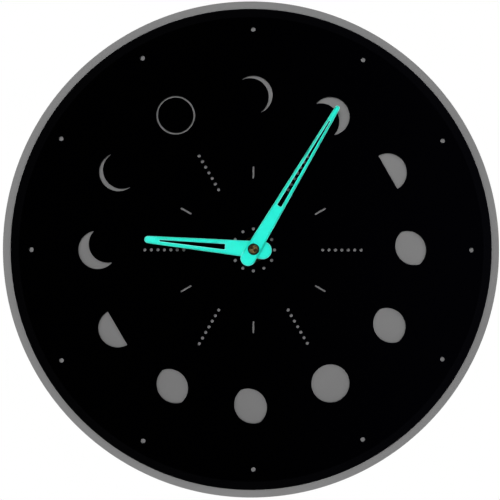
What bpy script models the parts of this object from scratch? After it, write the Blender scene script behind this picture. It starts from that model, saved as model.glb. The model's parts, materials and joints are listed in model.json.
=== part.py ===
"""Moon phase wall clock, built as the real one is: an acrylic dial, hands and a battery quartz movement.

Pieces are modelled in dial coordinates: x to the right, y up, z out of the wall towards the viewer. The
hands turn about x = y = 0, and the wall is at z = 0. The dial_axis empty turns dial coordinates into world
ones, where +Z is up, the dial faces -Y, and the origin is the point of the hanging loop that rests on the
wall's nail. All sizes are in metres.
"""
import bpy
import bmesh
from math import asin, atan2, cos, floor, pi, radians, sin, sqrt, tau
from mathutils import Matrix, Vector

# Fits
GAP = 0.0003                     # between pieces that seat on, or run in, one another
BITE = 0.0002                    # how far one shape reaches into the next where they are one piece

# The two sheets of the dial
BACKING_RADIUS = 0.150
RIM_SIDES = 120
BACKING_THICKNESS = 0.003
RIM_WIDTH = 0.005                # grey that stands out round the black face
FACE_THICKNESS = 0.001

# Marks cut through the face
OUTER_DOT_MARGIN = 0.0123        # from the black edge in to the outer dots
OUTER_DOT_RADIUS = 0.0014
MOON_MARGIN = 0.0394             # from the outer dots in to the moons' centres
MOON_RADIUS = 0.0116
MOON_TILT = radians(30)          # the lit side's direction above the horizon
NEW_MOON_HOUR = 11
NEW_MOON_LINE = 0.00104
MOON_SIDES = 30
CRESCENT_TRIM = 0.0004           # the shadow of a crescent is this much smaller than the moon
THIN_CRESCENT_SHIFT = 0.00195    # how far the shadow's centre lies from the moon's
WIDE_CRESCENT_SHIFT = 0.0068
SMALL_GIBBOUS_SHIFT = 0.0050
LARGE_GIBBOUS_SHIFT = 0.0039
HALF_MOON_SHIFT = 0.0008         # how far a half moon stands off its centre, towards its lit side
ROW_START = 0.04186              # first dot of a row, from the axis
ROW_PITCH = 0.00389
ROW_DOT_RADIUS = 0.00095
ROW_MARGIN = 0.016               # least space between a row's last dot and the moon
DASH_CIRCLE = 0.0467
DASH_LENGTH = 0.0075
DASH_WIDTH = 0.0011
HUB_DOT_CIRCLE = 0.0127
HUB_DOT_RADIUS = 0.00095

# Hands: each outline wraps a small tip circle and a larger tail circle behind the axis
HAND_THICKNESS = 0.001
HAND_SPACING = 0.001
HOUR_ANGLE = radians(275.3)      # clockwise from twelve
HOUR_TIP_DISTANCE = 0.0626
HOUR_TIP_RADIUS = 0.00215
HOUR_TAIL_DISTANCE = 0.0056
HOUR_TAIL_RADIUS = 0.0053
HOUR_SLOT_START = 0.0170
HOUR_SLOT_END = 0.0558
HOUR_SLOT_WIDE = 0.0033
HOUR_SLOT_NARROW = 0.0008
MINUTE_ANGLE = radians(30.7)
MINUTE_TIP_DISTANCE = 0.0972
MINUTE_TIP_RADIUS = 0.0015
MINUTE_TAIL_DISTANCE = 0.0062
MINUTE_TAIL_RADIUS = 0.0045
MINUTE_SLOT_START = 0.0298
MINUTE_SLOT_END = 0.0884
MINUTE_SLOT_WIDE = 0.00275
MINUTE_SLOT_NARROW = 0.0006
SLOT_CORNER = 0.0006
COLLET_LENGTH = 0.0009
COLLET_WALL = 0.0009

# Hub fittings in front of the dial
BUSHING_RADIUS = 0.004
BUSHING_WALL = 0.0012
BUSHING_FLANGE_RADIUS = 0.006
BUSHING_FLANGE_THICKNESS = 0.001
BUSHING_PROUD = 0.0008           # thread that stands past the nut
RUBBER_RADIUS = 0.009
RUBBER_THICKNESS = 0.0008
WASHER_RADIUS = 0.0075
WASHER_THICKNESS = 0.0005
NUT_ACROSS_FLATS = 0.011
NUT_THICKNESS = 0.002
HAND_NUT_FOOT_RADIUS = 0.00345
HAND_NUT_FOOT_HEIGHT = 0.0005
HAND_NUT_RADIUS = 0.0029
HAND_NUT_HEIGHT = 0.0024
HAND_NUT_EDGE = 0.0006
HAND_NUT_CROWN = 0.0005          # metal in front of the nut's blind hole

# Arbors, at the centre one inside the other
ARBOR_RADIUS = 0.0004
PIPE_WALL = 0.0008               # of the minute pipe
TUBE_WALL = 0.0007               # of the hour tube
FLAT_DEPTH = 0.0004              # of the two flats that turn the minute hand
STEM_RADIUS = 0.001
SECONDS_ARBOR_REACH = 0.009      # how far the seconds arbor runs up the minute pipe
TUBE_TIP = 0.0003                # hour tube that stands past its hand

# Gear train
TOOTH_TIP = 0.7                  # height above the pitch circle, in modules
TOOTH_ROOT = 1.2                 # depth of the notch between teeth below the pitch circle, in modules
TOOTH_HEAD_SHARE = 0.07          # half of a tooth's width at its head, of one pitch
ROTOR_TEETH = 8
INTERMEDIATE_TEETH = 48
INTERMEDIATE_PINION_TEETH = 10
SECONDS_TEETH = 50
SECONDS_PINION_TEETH = 8
THIRD_TEETH = 60
THIRD_PINION_TEETH = 8
CENTRE_TEETH = 64
CANNON_TEETH = 10
MINUTE_TEETH = 40
MINUTE_PINION_TEETH = 12
HOUR_TEETH = 36
ROTOR_MODULE = 0.00025
SECONDS_MODULE = 0.0003
THIRD_MODULE = 0.00028
INTERMEDIATE_DIRECTION = radians(20)
ROTOR_DIRECTION = radians(35)
THIRD_DIRECTION = radians(160)
STEM_CLEARANCE = 0.0005          # between the centre wheel's teeth and the setting stem
WHEEL_THICKNESS = 0.0008
PINION_MARGIN = 0.0003           # how far a pinion's face stands past its wheel's
LEVEL_SPACE = 0.001              # between one wheel and the next level's wheel
CLUTCH_THICKNESS = 0.0005
CLUTCH_RADIUS = 0.0024
CENTRE_HUB_RADIUS = 0.0026

# Motor
MAGNET_RADIUS = 0.003
MAGNET_REAR_OVERHANG = 0.0008    # magnet behind the stator plate
MAGNET_FRONT_OVERHANG = 0.0006
STATOR_THICKNESS = 0.0008
STATOR_AIR_GAP = 0.0005
STATOR_RING_WALL = 0.0011
STATOR_LEG_WIDTH = 0.0032
STATOR_LEFT_POLE = 0.0055        # pole legs' distances from the rotor's axis
STATOR_RIGHT_POLE = 0.0045
STATOR_YOKE_SPACE = 0.0005       # between the yoke and the coil
CORE_WIDTH = 0.0022
CORE_THICKNESS = 0.001
COIL_SPAN = 0.0332               # between the two stator screws
BOBBIN_END_SPACE = 0.0042        # from a screw to the bobbin's end
BOBBIN_WALL = 0.0003
BOBBIN_FLANGE_RADIUS = 0.0032
BOBBIN_FLANGE_THICKNESS = 0.0008
WINDING_INSET = 0.0003           # of the wire below the bobbin's flange
SCREW_RADIUS = 0.0006
SCREW_HEAD_RADIUS = 0.0014
SCREW_HEAD_HEIGHT = 0.0008
SCREW_GRIP = 0.003

# Battery, one AA cell, and its contacts
BATTERY_RADIUS = 0.0071
BATTERY_LENGTH = 0.0502
BATTERY_NUB_RADIUS = 0.00275
BATTERY_NUB_LENGTH = 0.001
BATTERY_EDGE = 0.0006
BATTERY_INSET = 0.001            # of the cell from the wall's plane
CONTACT_THICKNESS = 0.0003
CONTACT_WIDTH = 0.002
LEAF_SPACE = 0.0019              # for the bowed minus contact
PLUS_SPACE = 0.0003              # behind the plus contact
CONTACT_END_INSET = 0.002        # of a contact's lower end from the bay's floor
LEAF_REACH = 0.8                 # of the leaf above the cell's axis, of its reach below
LEAF_STEPS = 8

# Case
WALL = 0.0015
CASE_CORNER = 0.003
PARTITION = 0.0012
BAY_MARGIN = 0.0018              # from the centre wheel's teeth to the partition
COVER_THICKNESS = 0.0012
KNOB_RADIUS = 0.006
KNOB_THICKNESS = 0.0015
KNOB_FLUTES = 16
KNOB_FLUTE_DEPTH = 0.0004
RECESS_CLEARANCE = 0.0006        # round the knob
RECESS_WALL = 0.0008
CUP_RADIUS = 0.0012
CUP_HEIGHT = 0.0009
CUP_SKIN = 0.0006                # of the cover behind a bearing cup
BOSS_WALL = 0.0006
BOSS_LENGTH = 0.0030
STEM_BOSS_LENGTH = 0.0016
PLATE_THICKNESS = 0.0008
PLATE_INSET = 0.0013             # of the train plate from the case's walls
PLATE_CORNER = 0.002
PILLAR_RADIUS = 0.0018
PILLAR_INSET = 0.0031
PEG_RADIUS = 0.0009
SCREW_PILLAR_RADIUS = 0.002
CLIP_WIDTH = 0.006
CLIP_THICKNESS = 0.001
CLIP_LENGTH = 0.0038
CLIP_HOOK = 0.0008
CLIP_HOOK_HEIGHT = 0.0012
CLIP_HEIGHT = 0.008              # of the clips' middle above the axis

# Circuit board
BOARD_THICKNESS = 0.0008
BOARD_INSET = 0.0007
BOARD_HEIGHT = 0.025
BOARD_WHEEL_SPACE = 0.0008
CRYSTAL_RADIUS = 0.001
CRYSTAL_LENGTH = 0.006
CRYSTAL_HEIGHT = 0.008           # of its middle above the axis
CHIP_RADIUS = 0.0022
CHIP_THICKNESS = 0.001

# Hanging loop
LOOP_RISE = 0.008                # from the case's top to the nail's seat
LOOP_WIDTH = 0.024
LOOP_TOP_WIDTH = 0.018
LOOP_MATERIAL = 0.0035           # above the nail's seat
LOOP_THICKNESS = 0.0025
SLOT_WIDTH = 0.013
SLOT_HEIGHT = 0.0065
NOTCH_WIDTH = 0.003
NOTCH_DEPTH = 0.0006


def gear_tip(teeth, module):
    return module * (teeth / 2 + TOOTH_TIP)


def centre_distance(teeth, other_teeth, module):
    return module * (teeth + other_teeth) / 2


def polar(distance, angle):
    return Vector((distance * cos(angle), distance * sin(angle)))


# Marks that follow from the sizes above
FACE_RADIUS = BACKING_RADIUS - RIM_WIDTH
OUTER_DOT_CIRCLE = FACE_RADIUS - OUTER_DOT_MARGIN
MOON_CIRCLE = OUTER_DOT_CIRCLE - MOON_MARGIN
ROW_LENGTH = MOON_CIRCLE - MOON_RADIUS - ROW_MARGIN - ROW_START
ROW_DOTS = max(0, floor(ROW_LENGTH / ROW_PITCH) + 1)

# Axes of the train, from the centre distances of meshing wheels
THIRD_DISTANCE = centre_distance(SECONDS_PINION_TEETH, THIRD_TEETH, THIRD_MODULE)
CENTRE_MODULE = 2 * THIRD_DISTANCE / (THIRD_PINION_TEETH + CENTRE_TEETH)
CENTRE_TIP = gear_tip(CENTRE_TEETH, CENTRE_MODULE)
STEM_DISTANCE = CENTRE_TIP + STEM_CLEARANCE + STEM_RADIUS
CANNON_MODULE = 2 * STEM_DISTANCE / (CANNON_TEETH + MINUTE_TEETH)
HOUR_MODULE = 2 * STEM_DISTANCE / (MINUTE_PINION_TEETH + HOUR_TEETH)
CENTRE_AXIS = Vector((0, 0))
STEM_AXIS = polar(STEM_DISTANCE, pi / 2)
THIRD_AXIS = polar(THIRD_DISTANCE, THIRD_DIRECTION)
INTERMEDIATE_DISTANCE = centre_distance(INTERMEDIATE_PINION_TEETH, SECONDS_TEETH, SECONDS_MODULE)
INTERMEDIATE_AXIS = polar(INTERMEDIATE_DISTANCE, INTERMEDIATE_DIRECTION)
ROTOR_DISTANCE = centre_distance(ROTOR_TEETH, INTERMEDIATE_TEETH, ROTOR_MODULE)
ROTOR_AXIS = INTERMEDIATE_AXIS + polar(ROTOR_DISTANCE, ROTOR_DIRECTION)

# Radii at the centre, from the seconds arbor outwards
PIPE_BORE = ARBOR_RADIUS + GAP
PIPE_RADIUS = PIPE_BORE + PIPE_WALL
TUBE_BORE = PIPE_RADIUS + GAP
TUBE_RADIUS = TUBE_BORE + TUBE_WALL
BUSHING_BORE = BUSHING_RADIUS - BUSHING_WALL
DIAL_HOLE = BUSHING_RADIUS + GAP

# Levels from the wall to the front of the case
RECESS_REAR = KNOB_THICKNESS + 2 * GAP
RECESS_FRONT = RECESS_REAR + RECESS_WALL
SECONDS_REAR = RECESS_FRONT + GAP
SECONDS_FRONT = SECONDS_REAR + WHEEL_THICKNESS
CORE_REAR = SECONDS_REAR + STATOR_THICKNESS + GAP
CORE_FRONT = CORE_REAR + CORE_THICKNESS
MAGNET_REAR = SECONDS_REAR - MAGNET_REAR_OVERHANG
MAGNET_FRONT = SECONDS_REAR + STATOR_THICKNESS + MAGNET_FRONT_OVERHANG
THIRD_REAR = max(SECONDS_FRONT + LEVEL_SPACE, MAGNET_FRONT + GAP + PINION_MARGIN)
THIRD_FRONT = THIRD_REAR + WHEEL_THICKNESS
PLATE_REAR = THIRD_FRONT + LEVEL_SPACE
PLATE_FRONT = PLATE_REAR + PLATE_THICKNESS
CLUTCH_REAR = PLATE_FRONT + GAP
CENTRE_REAR = CLUTCH_REAR + CLUTCH_THICKNESS + GAP
CENTRE_FRONT = CENTRE_REAR + WHEEL_THICKNESS
MINUTE_REAR = CENTRE_FRONT + LEVEL_SPACE
MINUTE_FRONT = MINUTE_REAR + WHEEL_THICKNESS
HOUR_REAR = MINUTE_FRONT + LEVEL_SPACE
HOUR_FRONT = HOUR_REAR + WHEEL_THICKNESS
TRAIN_DEPTH = HOUR_FRONT + PINION_MARGIN + 2 * GAP + BUSHING_FLANGE_THICKNESS
BATTERY_DEPTH = BATTERY_INSET + 2 * BATTERY_RADIUS + GAP
FLOOR_REAR = max(TRAIN_DEPTH, BATTERY_DEPTH)
CASE_DEPTH = FLOOR_REAR + WALL
BOARD_FRONT = PLATE_REAR - GAP
BOARD_REAR = BOARD_FRONT - BOARD_THICKNESS
PIVOT_REAR = CUP_SKIN + GAP

# Levels in front of the case
RUBBER_REAR = CASE_DEPTH + GAP
BACKING_REAR = RUBBER_REAR + RUBBER_THICKNESS + GAP
BACKING_FRONT = BACKING_REAR + BACKING_THICKNESS
FACE_REAR = BACKING_FRONT + GAP
FACE_FRONT = FACE_REAR + FACE_THICKNESS
WASHER_REAR = FACE_FRONT + GAP
WASHER_FRONT = WASHER_REAR + WASHER_THICKNESS
NUT_REAR = WASHER_FRONT + GAP
NUT_FRONT = NUT_REAR + NUT_THICKNESS
BUSHING_FRONT = NUT_FRONT + BUSHING_PROUD
COLLET_REAR = BUSHING_FRONT + GAP
HOUR_HAND_REAR = COLLET_REAR + COLLET_LENGTH
HOUR_HAND_FRONT = HOUR_HAND_REAR + HAND_THICKNESS
TUBE_FRONT = HOUR_HAND_FRONT + TUBE_TIP
MINUTE_HAND_REAR = max(HOUR_HAND_FRONT + HAND_SPACING, TUBE_FRONT + GAP)
MINUTE_HAND_FRONT = MINUTE_HAND_REAR + HAND_THICKNESS
HAND_NUT_REAR = MINUTE_HAND_FRONT + GAP
HAND_NUT_FRONT = HAND_NUT_REAR + HAND_NUT_HEIGHT
PIPE_FRONT = HAND_NUT_FRONT - HAND_NUT_CROWN - GAP

# Outline of the case, wide enough for the cell and tall enough for the train above it
GEAR_BAY_BOTTOM = -(CENTRE_TIP + BAY_MARGIN)
BATTERY_BAY_TOP = GEAR_BAY_BOTTOM - PARTITION
BATTERY_BAY_BOTTOM = BATTERY_BAY_TOP - 2 * (BATTERY_RADIUS + GAP)
BATTERY_BAY_WIDTH = LEAF_SPACE + BATTERY_LENGTH + GAP + CONTACT_THICKNESS + PLUS_SPACE
CASE_HALF = max(BATTERY_BAY_WIDTH / 2, -BATTERY_BAY_BOTTOM) + WALL
INNER_HALF = CASE_HALF - WALL
BATTERY_AXIS_HEIGHT = (BATTERY_BAY_TOP + BATTERY_BAY_BOTTOM) / 2
BATTERY_START = -INNER_HALF + LEAF_SPACE
PLUS_FACE = BATTERY_START + BATTERY_LENGTH + GAP
RECESS_RADIUS = KNOB_RADIUS + RECESS_CLEARANCE
RECESS_OUTER = RECESS_RADIUS + RECESS_WALL

# Coil, above the knob's recess, and the stator's screws at its ends
COIL_HEIGHT = STEM_AXIS.y + RECESS_OUTER + STATOR_YOKE_SPACE + BOBBIN_FLANGE_RADIUS
COIL_RIGHT = ROTOR_AXIS.x + STATOR_RIGHT_POLE
COIL_LEFT = COIL_RIGHT - COIL_SPAN
YOKE_HEIGHT = COIL_HEIGHT - BOBBIN_FLANGE_RADIUS - STATOR_YOKE_SPACE - STATOR_LEG_WIDTH / 2
PLATE_TOP = COIL_HEIGHT - BOBBIN_FLANGE_RADIUS - PLATE_INSET
PLATE_BOTTOM = GEAR_BAY_BOTTOM + CONTACT_THICKNESS + 2 * GAP

# Nail's seat above the hands' axis
HANG_HEIGHT = CASE_HALF + LOOP_RISE


def clear_scene():
    for thing in list(bpy.data.objects):
        bpy.data.objects.remove(thing, do_unlink=True)
    for group in list(bpy.data.collections):
        bpy.data.collections.remove(group)


def new_collection(name):
    group = bpy.data.collections.new(name)
    bpy.context.scene.collection.children.link(group)
    return group


clear_scene()
CLOCK = new_collection("moon_phase_wall_clock")
CUTTERS = new_collection("cutters")

dial_axis = bpy.data.objects.new("dial_axis", None)
dial_axis.location = (0, 0, -HANG_HEIGHT)
dial_axis.rotation_euler = (pi / 2, 0, 0)
CLOCK.objects.link(dial_axis)


def material(name, colour, roughness, metallic=0.0):
    finish = bpy.data.materials.new(name)
    finish.use_nodes = True
    shader = finish.node_tree.nodes["Principled BSDF"]
    shader.inputs["Base Color"].default_value = (*colour, 1)
    shader.inputs["Roughness"].default_value = roughness
    shader.inputs["Metallic"].default_value = metallic
    return finish


# Shapes

def arc(centre, radius, start, end, step=radians(12)):
    """Points of an arc, both ends included, anticlockwise when end is more than start."""
    count = max(2, round(abs(end - start) / step))
    turns = [start + (end - start) * index / count for index in range(count + 1)]
    return [(centre[0] + radius * cos(turn), centre[1] + radius * sin(turn)) for turn in turns]


def circle(centre, radius, sides):
    return [(centre[0] + radius * cos(tau * side / sides), centre[1] + radius * sin(tau * side / sides))
            for side in range(sides)]


def two_circle_hull(low_y, low_radius, high_y, high_radius, step=radians(15)):
    """Outline round a circle at low_y and a circle at high_y, both on the y axis."""
    lean = asin((low_radius - high_radius) / (high_y - low_y))
    high_arc = arc((0, high_y), high_radius, lean, pi - lean, step)
    low_arc = arc((0, low_y), low_radius, pi - lean, tau + lean, step)
    return high_arc + low_arc


def rounded_rectangle(left, bottom, right, top, radii):
    """Outline whose corners start at the bottom left and run anticlockwise."""
    corners = [(left, bottom, 1, 1), (right, bottom, -1, 1), (right, top, -1, -1), (left, top, 1, -1)]
    points = []
    for turn, ((x, y, inward_x, inward_y), radius) in enumerate(zip(corners, radii)):
        start = pi + turn * pi / 2
        if radius <= 0:
            points.append((x, y))
        else:
            centre = (x + inward_x * radius, y + inward_y * radius)
            points += arc(centre, radius, start, start + pi / 2, radians(18))
    return points


def turned_outline(points, angle, offset=(0, 0)):
    """The same outline turned anticlockwise by an angle, then moved."""
    return [(x * cos(angle) - y * sin(angle) + offset[0], x * sin(angle) + y * cos(angle) + offset[1])
            for x, y in points]


def at_hour(points, hour, distance):
    """An outline drawn round the origin with +y outwards, set at an hour of the dial."""
    angle = -tau * hour / 12
    return turned_outline([(x, y + distance) for x, y in points], angle)


def gear_outline(teeth, module, phase=0.0):
    """Straight-sided teeth with flat heads and pointed notches; the first tooth stands at the phase angle."""
    pitch_radius = teeth * module / 2
    tip = pitch_radius + TOOTH_TIP * module
    root = pitch_radius - TOOTH_ROOT * module
    pitch = tau / teeth
    points = []
    for tooth in range(teeth):
        middle = phase + tooth * pitch
        for share, radius in ((-0.5, root), (-TOOTH_HEAD_SHARE, tip), (TOOTH_HEAD_SHARE, tip)):
            points.append((radius * cos(middle + share * pitch), radius * sin(middle + share * pitch)))
    return points


def mating_phase(driver_teeth, driver_phase, driven_teeth, line_angle):
    """Where a wheel's teeth lie so that they mesh with a driver's, line_angle being the way to the wheel."""
    ahead = ((line_angle - driver_phase) * driver_teeth / tau) % 1.0
    return line_angle + pi - tau / driven_teeth * (0.5 - ahead)


def strip_outline(path, width):
    """Outline of a strip of even width along a path, with mitred corners."""
    path = [Vector(point) for point in path]
    sides = []
    for index, point in enumerate(path):
        before = (point - path[index - 1]).normalized() if index else None
        after = (path[index + 1] - point).normalized() if index < len(path) - 1 else None
        before = before or after
        after = after or before
        normal = Vector((-before.y - after.y, before.x + after.x)).normalized()
        reach = width / 2 / max(0.3, normal.dot(Vector((-before.y, before.x))))
        sides.append((point + normal * reach, point - normal * reach))
    left = [tuple(pair[0]) for pair in sides]
    right = [tuple(pair[1]) for pair in sides]
    return right + left[::-1]


# Solids. Each is a mesh object under dial_axis, whose own z is the height above the wall.

def add_object(name, mesh, axis=(0, 0), finish=None, collection=None):
    piece = bpy.data.objects.new(name, mesh)
    piece.location = (axis[0], axis[1], 0)
    piece.parent = dial_axis
    (collection or CLOCK).objects.link(piece)
    if finish:
        mesh.materials.append(finish)
    mesh.shade_smooth()
    mesh.set_sharp_from_angle(angle=radians(32))
    return piece


def evaluated_mesh(source):
    """A plain mesh of an object as its modifiers leave it, with its loose seams joined."""
    CUTTERS.objects.link(source)
    bpy.context.view_layer.update()
    graph = bpy.context.evaluated_depsgraph_get()
    mesh = bpy.data.meshes.new_from_object(source.evaluated_get(graph))
    work = bmesh.new()
    work.from_mesh(mesh)
    bmesh.ops.remove_doubles(work, verts=work.verts, dist=1e-6)
    work.to_mesh(mesh)
    work.free()
    bpy.data.objects.remove(source, do_unlink=True)
    return mesh


def slab(name, outlines, rear, front, **place):
    """Flat piece between two heights: the first outline is its edge and the others are holes."""
    curve = bpy.data.curves.new(name, "CURVE")
    curve.dimensions = "2D"
    curve.fill_mode = "BOTH"
    curve.extrude = (front - rear) / 2
    curve.render_resolution_u = 0
    for points in outlines:
        spline = curve.splines.new("POLY")
        spline.points.add(len(points) - 1)
        for point, (x, y) in zip(spline.points, points):
            point.co = (x, y, 0, 1)
        spline.use_cyclic_u = True
    mesh = evaluated_mesh(bpy.data.objects.new(name, curve))
    mesh.transform(Matrix.Translation((0, 0, (rear + front) / 2)))
    return add_object(name, mesh, **place)


def turned(name, profile, sides=24, **place):
    """Piece turned about its own z from a profile of (radius, z) points that runs down its outer side."""
    mesh = bpy.data.meshes.new(name)
    count = len(profile)
    loops = [(index, (index + 1) % count) for index in range(count)]
    on_axis = profile[0][0] == 0
    mesh.from_pydata([(radius, 0, z) for radius, z in profile], loops[:-1] if on_axis else loops, [])
    source = bpy.data.objects.new(name, mesh)
    screw = source.modifiers.new("Screw", "SCREW")
    screw.steps = sides
    screw.render_steps = sides
    screw.use_merge_vertices = True
    screw.merge_threshold = 0.00001
    return add_object(name, evaluated_mesh(source), **place)


def ring(name, bore, radius, rear, front, sides=24, **place):
    return turned(name, [(bore, front), (radius, front), (radius, rear), (bore, rear)], sides, **place)


def rod(name, radius, rear, front, sides=16, **place):
    work = bmesh.new()
    bmesh.ops.create_cone(work, cap_ends=True, segments=sides, radius1=radius, radius2=radius,
                          depth=front - rear, matrix=Matrix.Translation((0, 0, (front + rear) / 2)))
    mesh = bpy.data.meshes.new(name)
    work.to_mesh(mesh)
    work.free()
    return add_object(name, mesh, **place)


def block(name, low, high, **place):
    """Box between two corners."""
    low = Vector(low)
    high = Vector(high)
    work = bmesh.new()
    bmesh.ops.create_cube(work, size=1, matrix=Matrix.Translation((low + high) / 2)
                          @ Matrix.Diagonal((*(high - low), 1)))
    mesh = bpy.data.meshes.new(name)
    work.to_mesh(mesh)
    work.free()
    return add_object(name, mesh, **place)


def combine(piece, tool, operation):
    tool.hide_render = True
    tool.display_type = "WIRE"
    for group in tool.users_collection:
        group.objects.unlink(tool)
    CUTTERS.objects.link(tool)
    change = piece.modifiers.new(tool.name, "BOOLEAN")
    change.operation = operation
    change.solver = "EXACT"
    change.object = tool
    return piece


def cut(piece, *tools):
    for tool in tools:
        combine(piece, tool, "DIFFERENCE")
    return piece


def join(piece, *tools):
    for tool in tools:
        combine(piece, tool, "UNION")
    return piece


# Finishes
BLACK_ACRYLIC = material("black_acrylic", (0.004, 0.004, 0.005), 0.08)
GREY_ACRYLIC = material("grey_acrylic", (0.21, 0.21, 0.21), 0.55)
TURQUOISE = material("turquoise_acrylic", (0.03, 0.90, 0.68), 0.35)
BRASS = material("brass", (0.60, 0.42, 0.18), 0.3, 1.0)
STEEL = material("steel", (0.55, 0.55, 0.55), 0.35, 1.0)
RUBBER = material("rubber", (0.02, 0.02, 0.02), 0.8)
CASE_PLASTIC = material("black_case_plastic", (0.02, 0.02, 0.022), 0.5)
WHITE_PLASTIC = material("white_acetal", (0.75, 0.75, 0.72), 0.45)
SOFT_IRON = material("soft_iron", (0.35, 0.34, 0.33), 0.5, 1.0)
MAGNET = material("magnet", (0.06, 0.06, 0.065), 0.5, 0.6)
COPPER = material("enamelled_copper", (0.55, 0.20, 0.08), 0.35, 1.0)
BOARD_GREEN = material("board_green", (0.02, 0.16, 0.06), 0.5)
NICKEL = material("nickel_plate", (0.62, 0.60, 0.55), 0.3, 1.0)
RESIN = material("black_resin", (0.015, 0.015, 0.015), 0.4)
CELL_SLEEVE = material("cell_sleeve", (0.05, 0.06, 0.07), 0.35)


# The dial

def moon_pair(shift, shadow_radius, lit):
    """Outline left on a moon by a second circle at a shift from it: lit is 1 inside that circle, else -1."""
    crossing = (shift ** 2 + MOON_RADIUS ** 2 - shadow_radius ** 2) / (2 * shift)
    cusp = sqrt(MOON_RADIUS ** 2 - crossing ** 2)
    limb = atan2(cusp, crossing)
    edge = atan2(cusp, crossing - shift)
    outer = arc((0, 0), MOON_RADIUS, -limb, limb)
    if lit > 0:
        inner = arc((shift, 0), shadow_radius, edge, tau - edge)
    else:
        inner = arc((shift, 0), shadow_radius, edge, -edge)
    return outer + inner[1:-1]


def crescent(shift):
    return moon_pair(-shift, MOON_RADIUS - CRESCENT_TRIM, -1)


def gibbous(shift):
    return moon_pair(shift, MOON_RADIUS, 1)


def half_moon():
    return arc((HALF_MOON_SHIFT, 0), MOON_RADIUS, -pi / 2, pi / 2)


def full_moon():
    return circle((0, 0), MOON_RADIUS, MOON_SIDES)


def moon_outlines():
    """The twelve phases: lit at its upper right, the moon waxes from twelve to five, then wanes to new."""
    waxing = [crescent(THIN_CRESCENT_SHIFT), crescent(WIDE_CRESCENT_SHIFT), half_moon(),
              gibbous(SMALL_GIBBOUS_SHIFT), gibbous(LARGE_GIBBOUS_SHIFT), full_moon()]
    waning = [gibbous(LARGE_GIBBOUS_SHIFT), gibbous(SMALL_GIBBOUS_SHIFT), half_moon(),
              crescent(WIDE_CRESCENT_SHIFT), crescent(THIN_CRESCENT_SHIFT), full_moon()]
    outlines = []
    for hour, outline in enumerate(waxing + waning):
        tilt = MOON_TILT if hour < len(waxing) else MOON_TILT + pi
        outlines.append(turned_outline(outline, tilt, moon_centre(hour)))
    return outlines


def moon_centre(hour):
    return polar(MOON_CIRCLE, pi / 2 - tau * hour / 12)


def dot_outlines():
    outlines = []
    for hour in range(12):
        outlines.append(at_hour(circle((0, 0), OUTER_DOT_RADIUS, 10), hour, OUTER_DOT_CIRCLE))
        outlines.append(at_hour(circle((0, 0), HUB_DOT_RADIUS, 8), hour, HUB_DOT_CIRCLE))
        if hour % 2:
            for dot in range(ROW_DOTS):
                outlines.append(at_hour(circle((0, 0), ROW_DOT_RADIUS, 8), hour, ROW_START + dot * ROW_PITCH))
    return outlines


def dash_outlines():
    reach = (DASH_LENGTH - DASH_WIDTH) / 2
    dash = two_circle_hull(-reach, DASH_WIDTH / 2, reach, DASH_WIDTH / 2, radians(45))
    return [at_hour(dash, hour, DASH_CIRCLE) for hour in range(0, 12, 2)]


def build_dial():
    hub_hole = circle((0, 0), DIAL_HOLE, 24)
    slab("backing_disc", [circle((0, 0), BACKING_RADIUS, RIM_SIDES), hub_hole],
         BACKING_REAR, BACKING_FRONT, finish=GREY_ACRYLIC)
    marks = moon_outlines() + dot_outlines() + dash_outlines()
    slab("face_panel", [circle((0, 0), FACE_RADIUS, RIM_SIDES), hub_hole] + marks,
         FACE_REAR, FACE_FRONT, finish=BLACK_ACRYLIC)
    rod("new_moon_disc", MOON_RADIUS - NEW_MOON_LINE, FACE_REAR, FACE_FRONT, sides=MOON_SIDES,
        axis=moon_centre(NEW_MOON_HOUR), finish=BLACK_ACRYLIC)


# Hub fittings

def build_hub_fittings():
    ring("rubber_washer", DIAL_HOLE, RUBBER_RADIUS, RUBBER_REAR, RUBBER_REAR + RUBBER_THICKNESS,
         finish=RUBBER)
    ring("dial_washer", DIAL_HOLE, WASHER_RADIUS, WASHER_REAR, WASHER_FRONT, sides=32, finish=BRASS)
    nut = rod("hex_nut", NUT_ACROSS_FLATS / sqrt(3), NUT_REAR, NUT_FRONT, sides=6, finish=BRASS)
    cut(nut, rod("hex_nut_bore", DIAL_HOLE, NUT_REAR - GAP, NUT_FRONT + GAP, sides=24))
    flange_front = FLOOR_REAR - GAP
    flange_rear = flange_front - BUSHING_FLANGE_THICKNESS
    turned("threaded_bushing",
           [(BUSHING_BORE, BUSHING_FRONT), (BUSHING_RADIUS, BUSHING_FRONT), (BUSHING_RADIUS, flange_front),
            (BUSHING_FLANGE_RADIUS, flange_front), (BUSHING_FLANGE_RADIUS, flange_rear),
            (BUSHING_BORE, flange_rear)], finish=BRASS)


# Hands

def slot_outline(start, end, wide, narrow):
    """Tapered slot with a square wide end whose corners are rounded."""
    corner = min(SLOT_CORNER, wide / 2)
    tip = narrow / 2
    right_corner = arc((wide / 2 - corner, start + corner), corner, -pi / 2, 0, radians(30))
    left_corner = arc((corner - wide / 2, start + corner), corner, pi, 3 * pi / 2, radians(30))
    tip_arc = arc((0, end - tip), tip, 0, pi, radians(45))
    return right_corner + tip_arc + left_corner


def hand(name, angle, tip, tail, slot, bore, rear):
    """Flat hand: tip and tail are (distance from the axis, radius), slot is (start, end, wide, narrow)."""
    edge = two_circle_hull(-tail[0], tail[1], tip[0], tip[1])
    piece = slab(name, [edge, bore, slot_outline(*slot)], rear, rear + HAND_THICKNESS, finish=TURQUOISE)
    piece.rotation_euler.z = -angle
    return piece


def flatted_circle(radius, flat):
    """Circle with two flats across x, flat being the distance from its centre to each."""
    corner = sqrt(radius ** 2 - flat ** 2)
    reach = atan2(corner, flat)
    upper = arc((0, 0), radius, reach, pi - reach, radians(20))
    lower = arc((0, 0), radius, pi + reach, tau - reach, radians(20))
    return upper + lower


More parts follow.
